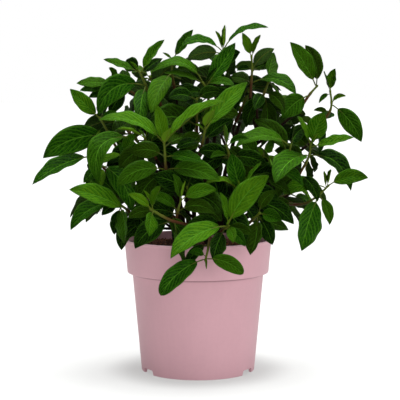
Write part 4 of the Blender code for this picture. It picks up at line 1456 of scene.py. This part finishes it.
class PLANT_OT_shoots(bpy.types.Operator):
    """Grow every leafy shoot from its joints and leaf tips"""

    bl_idname = "plant.make_shoots"
    bl_label = "Leafy shoots"

    def execute(self, context):
        look = context.scene.plant_leaf
        green = stem_material(context.scene.plant_wood)
        shoot_tree = ShootTree(blade_material(look), underside_material(look), green)
        luck = random.Random(20)
        for node, joints, leaves in (*tabled_shoots(), *grown_shoots()):
            shoot = link_object(f"leafy_{node}", seed_mesh(node + "_seed", joints, leaves, luck))
            grow = modify(shoot, "NODES", node_group=shoot_tree.tree)
            for name, (_, setting) in SHOOT_INPUTS.items():
                grow[shoot_tree.keys[name]] = getattr(look, setting)
            plain_mesh(shoot)
            finish_piece(shoot, node)
        return {"FINISHED"}


# ---- stage


CAMERA_LENS = 112.4
CAMERA_SENSOR = 36
CAMERA_PLACE = (0.0026, -1.6, 0.351)
CAMERA_PITCH = 85.28
KEY_DIRECTION = (0.07, 0.09, 1.0)
FILL_DIRECTION = (0.55, -0.8, 0.4)
HORIZON_BAND = (0.1, 0.36)
FLOOR_SIZE = 120.0
# Painted shadow round the pot's foot: the floor's glow rises from the first strength to the second
# between these distances
PAINTED_SHADOW_REACH = (0.08, 0.13)
FLOOR_GLOW_AND_PAINTED_SHADOW = (0.42, 0.58)


def studio_world(look):
    """White round the horizon and dimmer overhead, so that leaves keep their shade."""
    world = bpy.data.worlds.new("studio")
    world.use_nodes = True
    book = Book(world.node_tree)
    direction = book.term("ShaderNodeTexCoord", None, "Generated")
    height = book.parts(direction)[2]
    light = book.step(height, *HORIZON_BAND, look.horizon, look.zenith)
    sky = world.node_tree.nodes["Background"]
    book.feed(sky.inputs["Strength"], light)
    sky.inputs["Color"].default_value = (1, 1, 1, 1)
    return world


def broad_light(name, strength, size, toward):
    """A soft light from one direction."""
    light = bpy.data.lights.new(name, "SUN")
    light.energy = strength
    light.angle = size
    lamp = link_object(name, light)
    lamp.rotation_euler = Vector(toward).to_track_quat("Z", "Y").to_euler()


def floor_material():
    """White paper that glows a little, with a painted shadow round the pot's foot where the glow is
    dimmed.
    """
    material, book, shader, place = new_material("floor_paper")
    fibre = book.noise(place, 300.0, 2.0)
    colour = book.blend(fibre, (0.22, 0.225, 0.22), (0.23, 0.235, 0.23))
    dress(book, shader, colour, 0.9, 0.1)
    shader.inputs["Emission Color"].default_value = (1.0, 1.0, 0.995, 1)
    x, y, _ = book.parts(place)
    # Painted shadow: the glow is dimmed near the pot's foot
    reach = book.math("SQRT", x * x + y * y)
    book.feed(shader.inputs["Emission Strength"], book.step(reach, *PAINTED_SHADOW_REACH, *FLOOR_GLOW_AND_PAINTED_SHADOW))
    return material


def paper_floor():
    half = FLOOR_SIZE / 2
    corners = [(-half, -half, 0.0), (half, -half, 0.0), (half, half, 0.0), (-half, half, 0.0)]
    mesh = mesh_from("paper_floor", corners, [(0, 1, 2, 3)])
    mesh.materials.append(floor_material())
    return link_object("paper_floor", mesh)


class PLANT_OT_stage(bpy.types.Operator):
    """Add the pale floor, the soft studio light and the camera"""

    bl_idname = "plant.make_stage"
    bl_label = "Stage"

    def execute(self, context):
        look = context.scene.plant_stage
        scene = context.scene
        paper_floor()
        scene.world = studio_world(look)
        broad_light("key_light", look.key, look.key_size, KEY_DIRECTION)
        broad_light("fill_light", look.fill, look.key_size, FILL_DIRECTION)
        view = bpy.data.cameras.new("camera")
        view.lens = CAMERA_LENS
        view.sensor_width = CAMERA_SENSOR
        camera = link_object("camera", view)
        camera.location = CAMERA_PLACE
        camera.rotation_euler = (math.radians(CAMERA_PITCH), 0, 0)
        scene.camera = camera
        scene.view_settings.view_transform = "Standard"
        return {"FINISHED"}


# ---- panel


OPERATORS = (PLANT_OT_pot, PLANT_OT_compost, PLANT_OT_canes, PLANT_OT_shoots, PLANT_OT_stage)


class PLANT_PT_panel(bpy.types.Panel):
    bl_label = "Potted hydrangea"
    bl_idname = "PLANT_PT_panel"
    bl_space_type = "VIEW_3D"
    bl_region_type = "UI"
    bl_category = "Plant"

    def draw(self, context):
        for operator in OPERATORS:
            self.layout.operator(operator.bl_idname)
        for name, group in SETTINGS.items():
            box = self.layout.box()
            for field in group.__annotations__:
                box.prop(getattr(context.scene, name), field)


def register():
    for item in (*SETTINGS.values(), *OPERATORS, PLANT_PT_panel):
        bpy.utils.register_class(item)
    for name, group in SETTINGS.items():
        setattr(bpy.types.Scene, name, PointerProperty(type=group))


def unregister():
    for name in SETTINGS:
        delattr(bpy.types.Scene, name)
    for item in (PLANT_PT_panel, *OPERATORS, *SETTINGS.values()):
        bpy.utils.unregister_class(item)


def main():
    register()
    bpy.ops.plant.make_pot()
    bpy.ops.plant.make_compost()
    bpy.ops.plant.make_canes()
    bpy.ops.plant.make_shoots()
    bpy.ops.plant.make_stage()


if __name__ == "__main__":
    main()
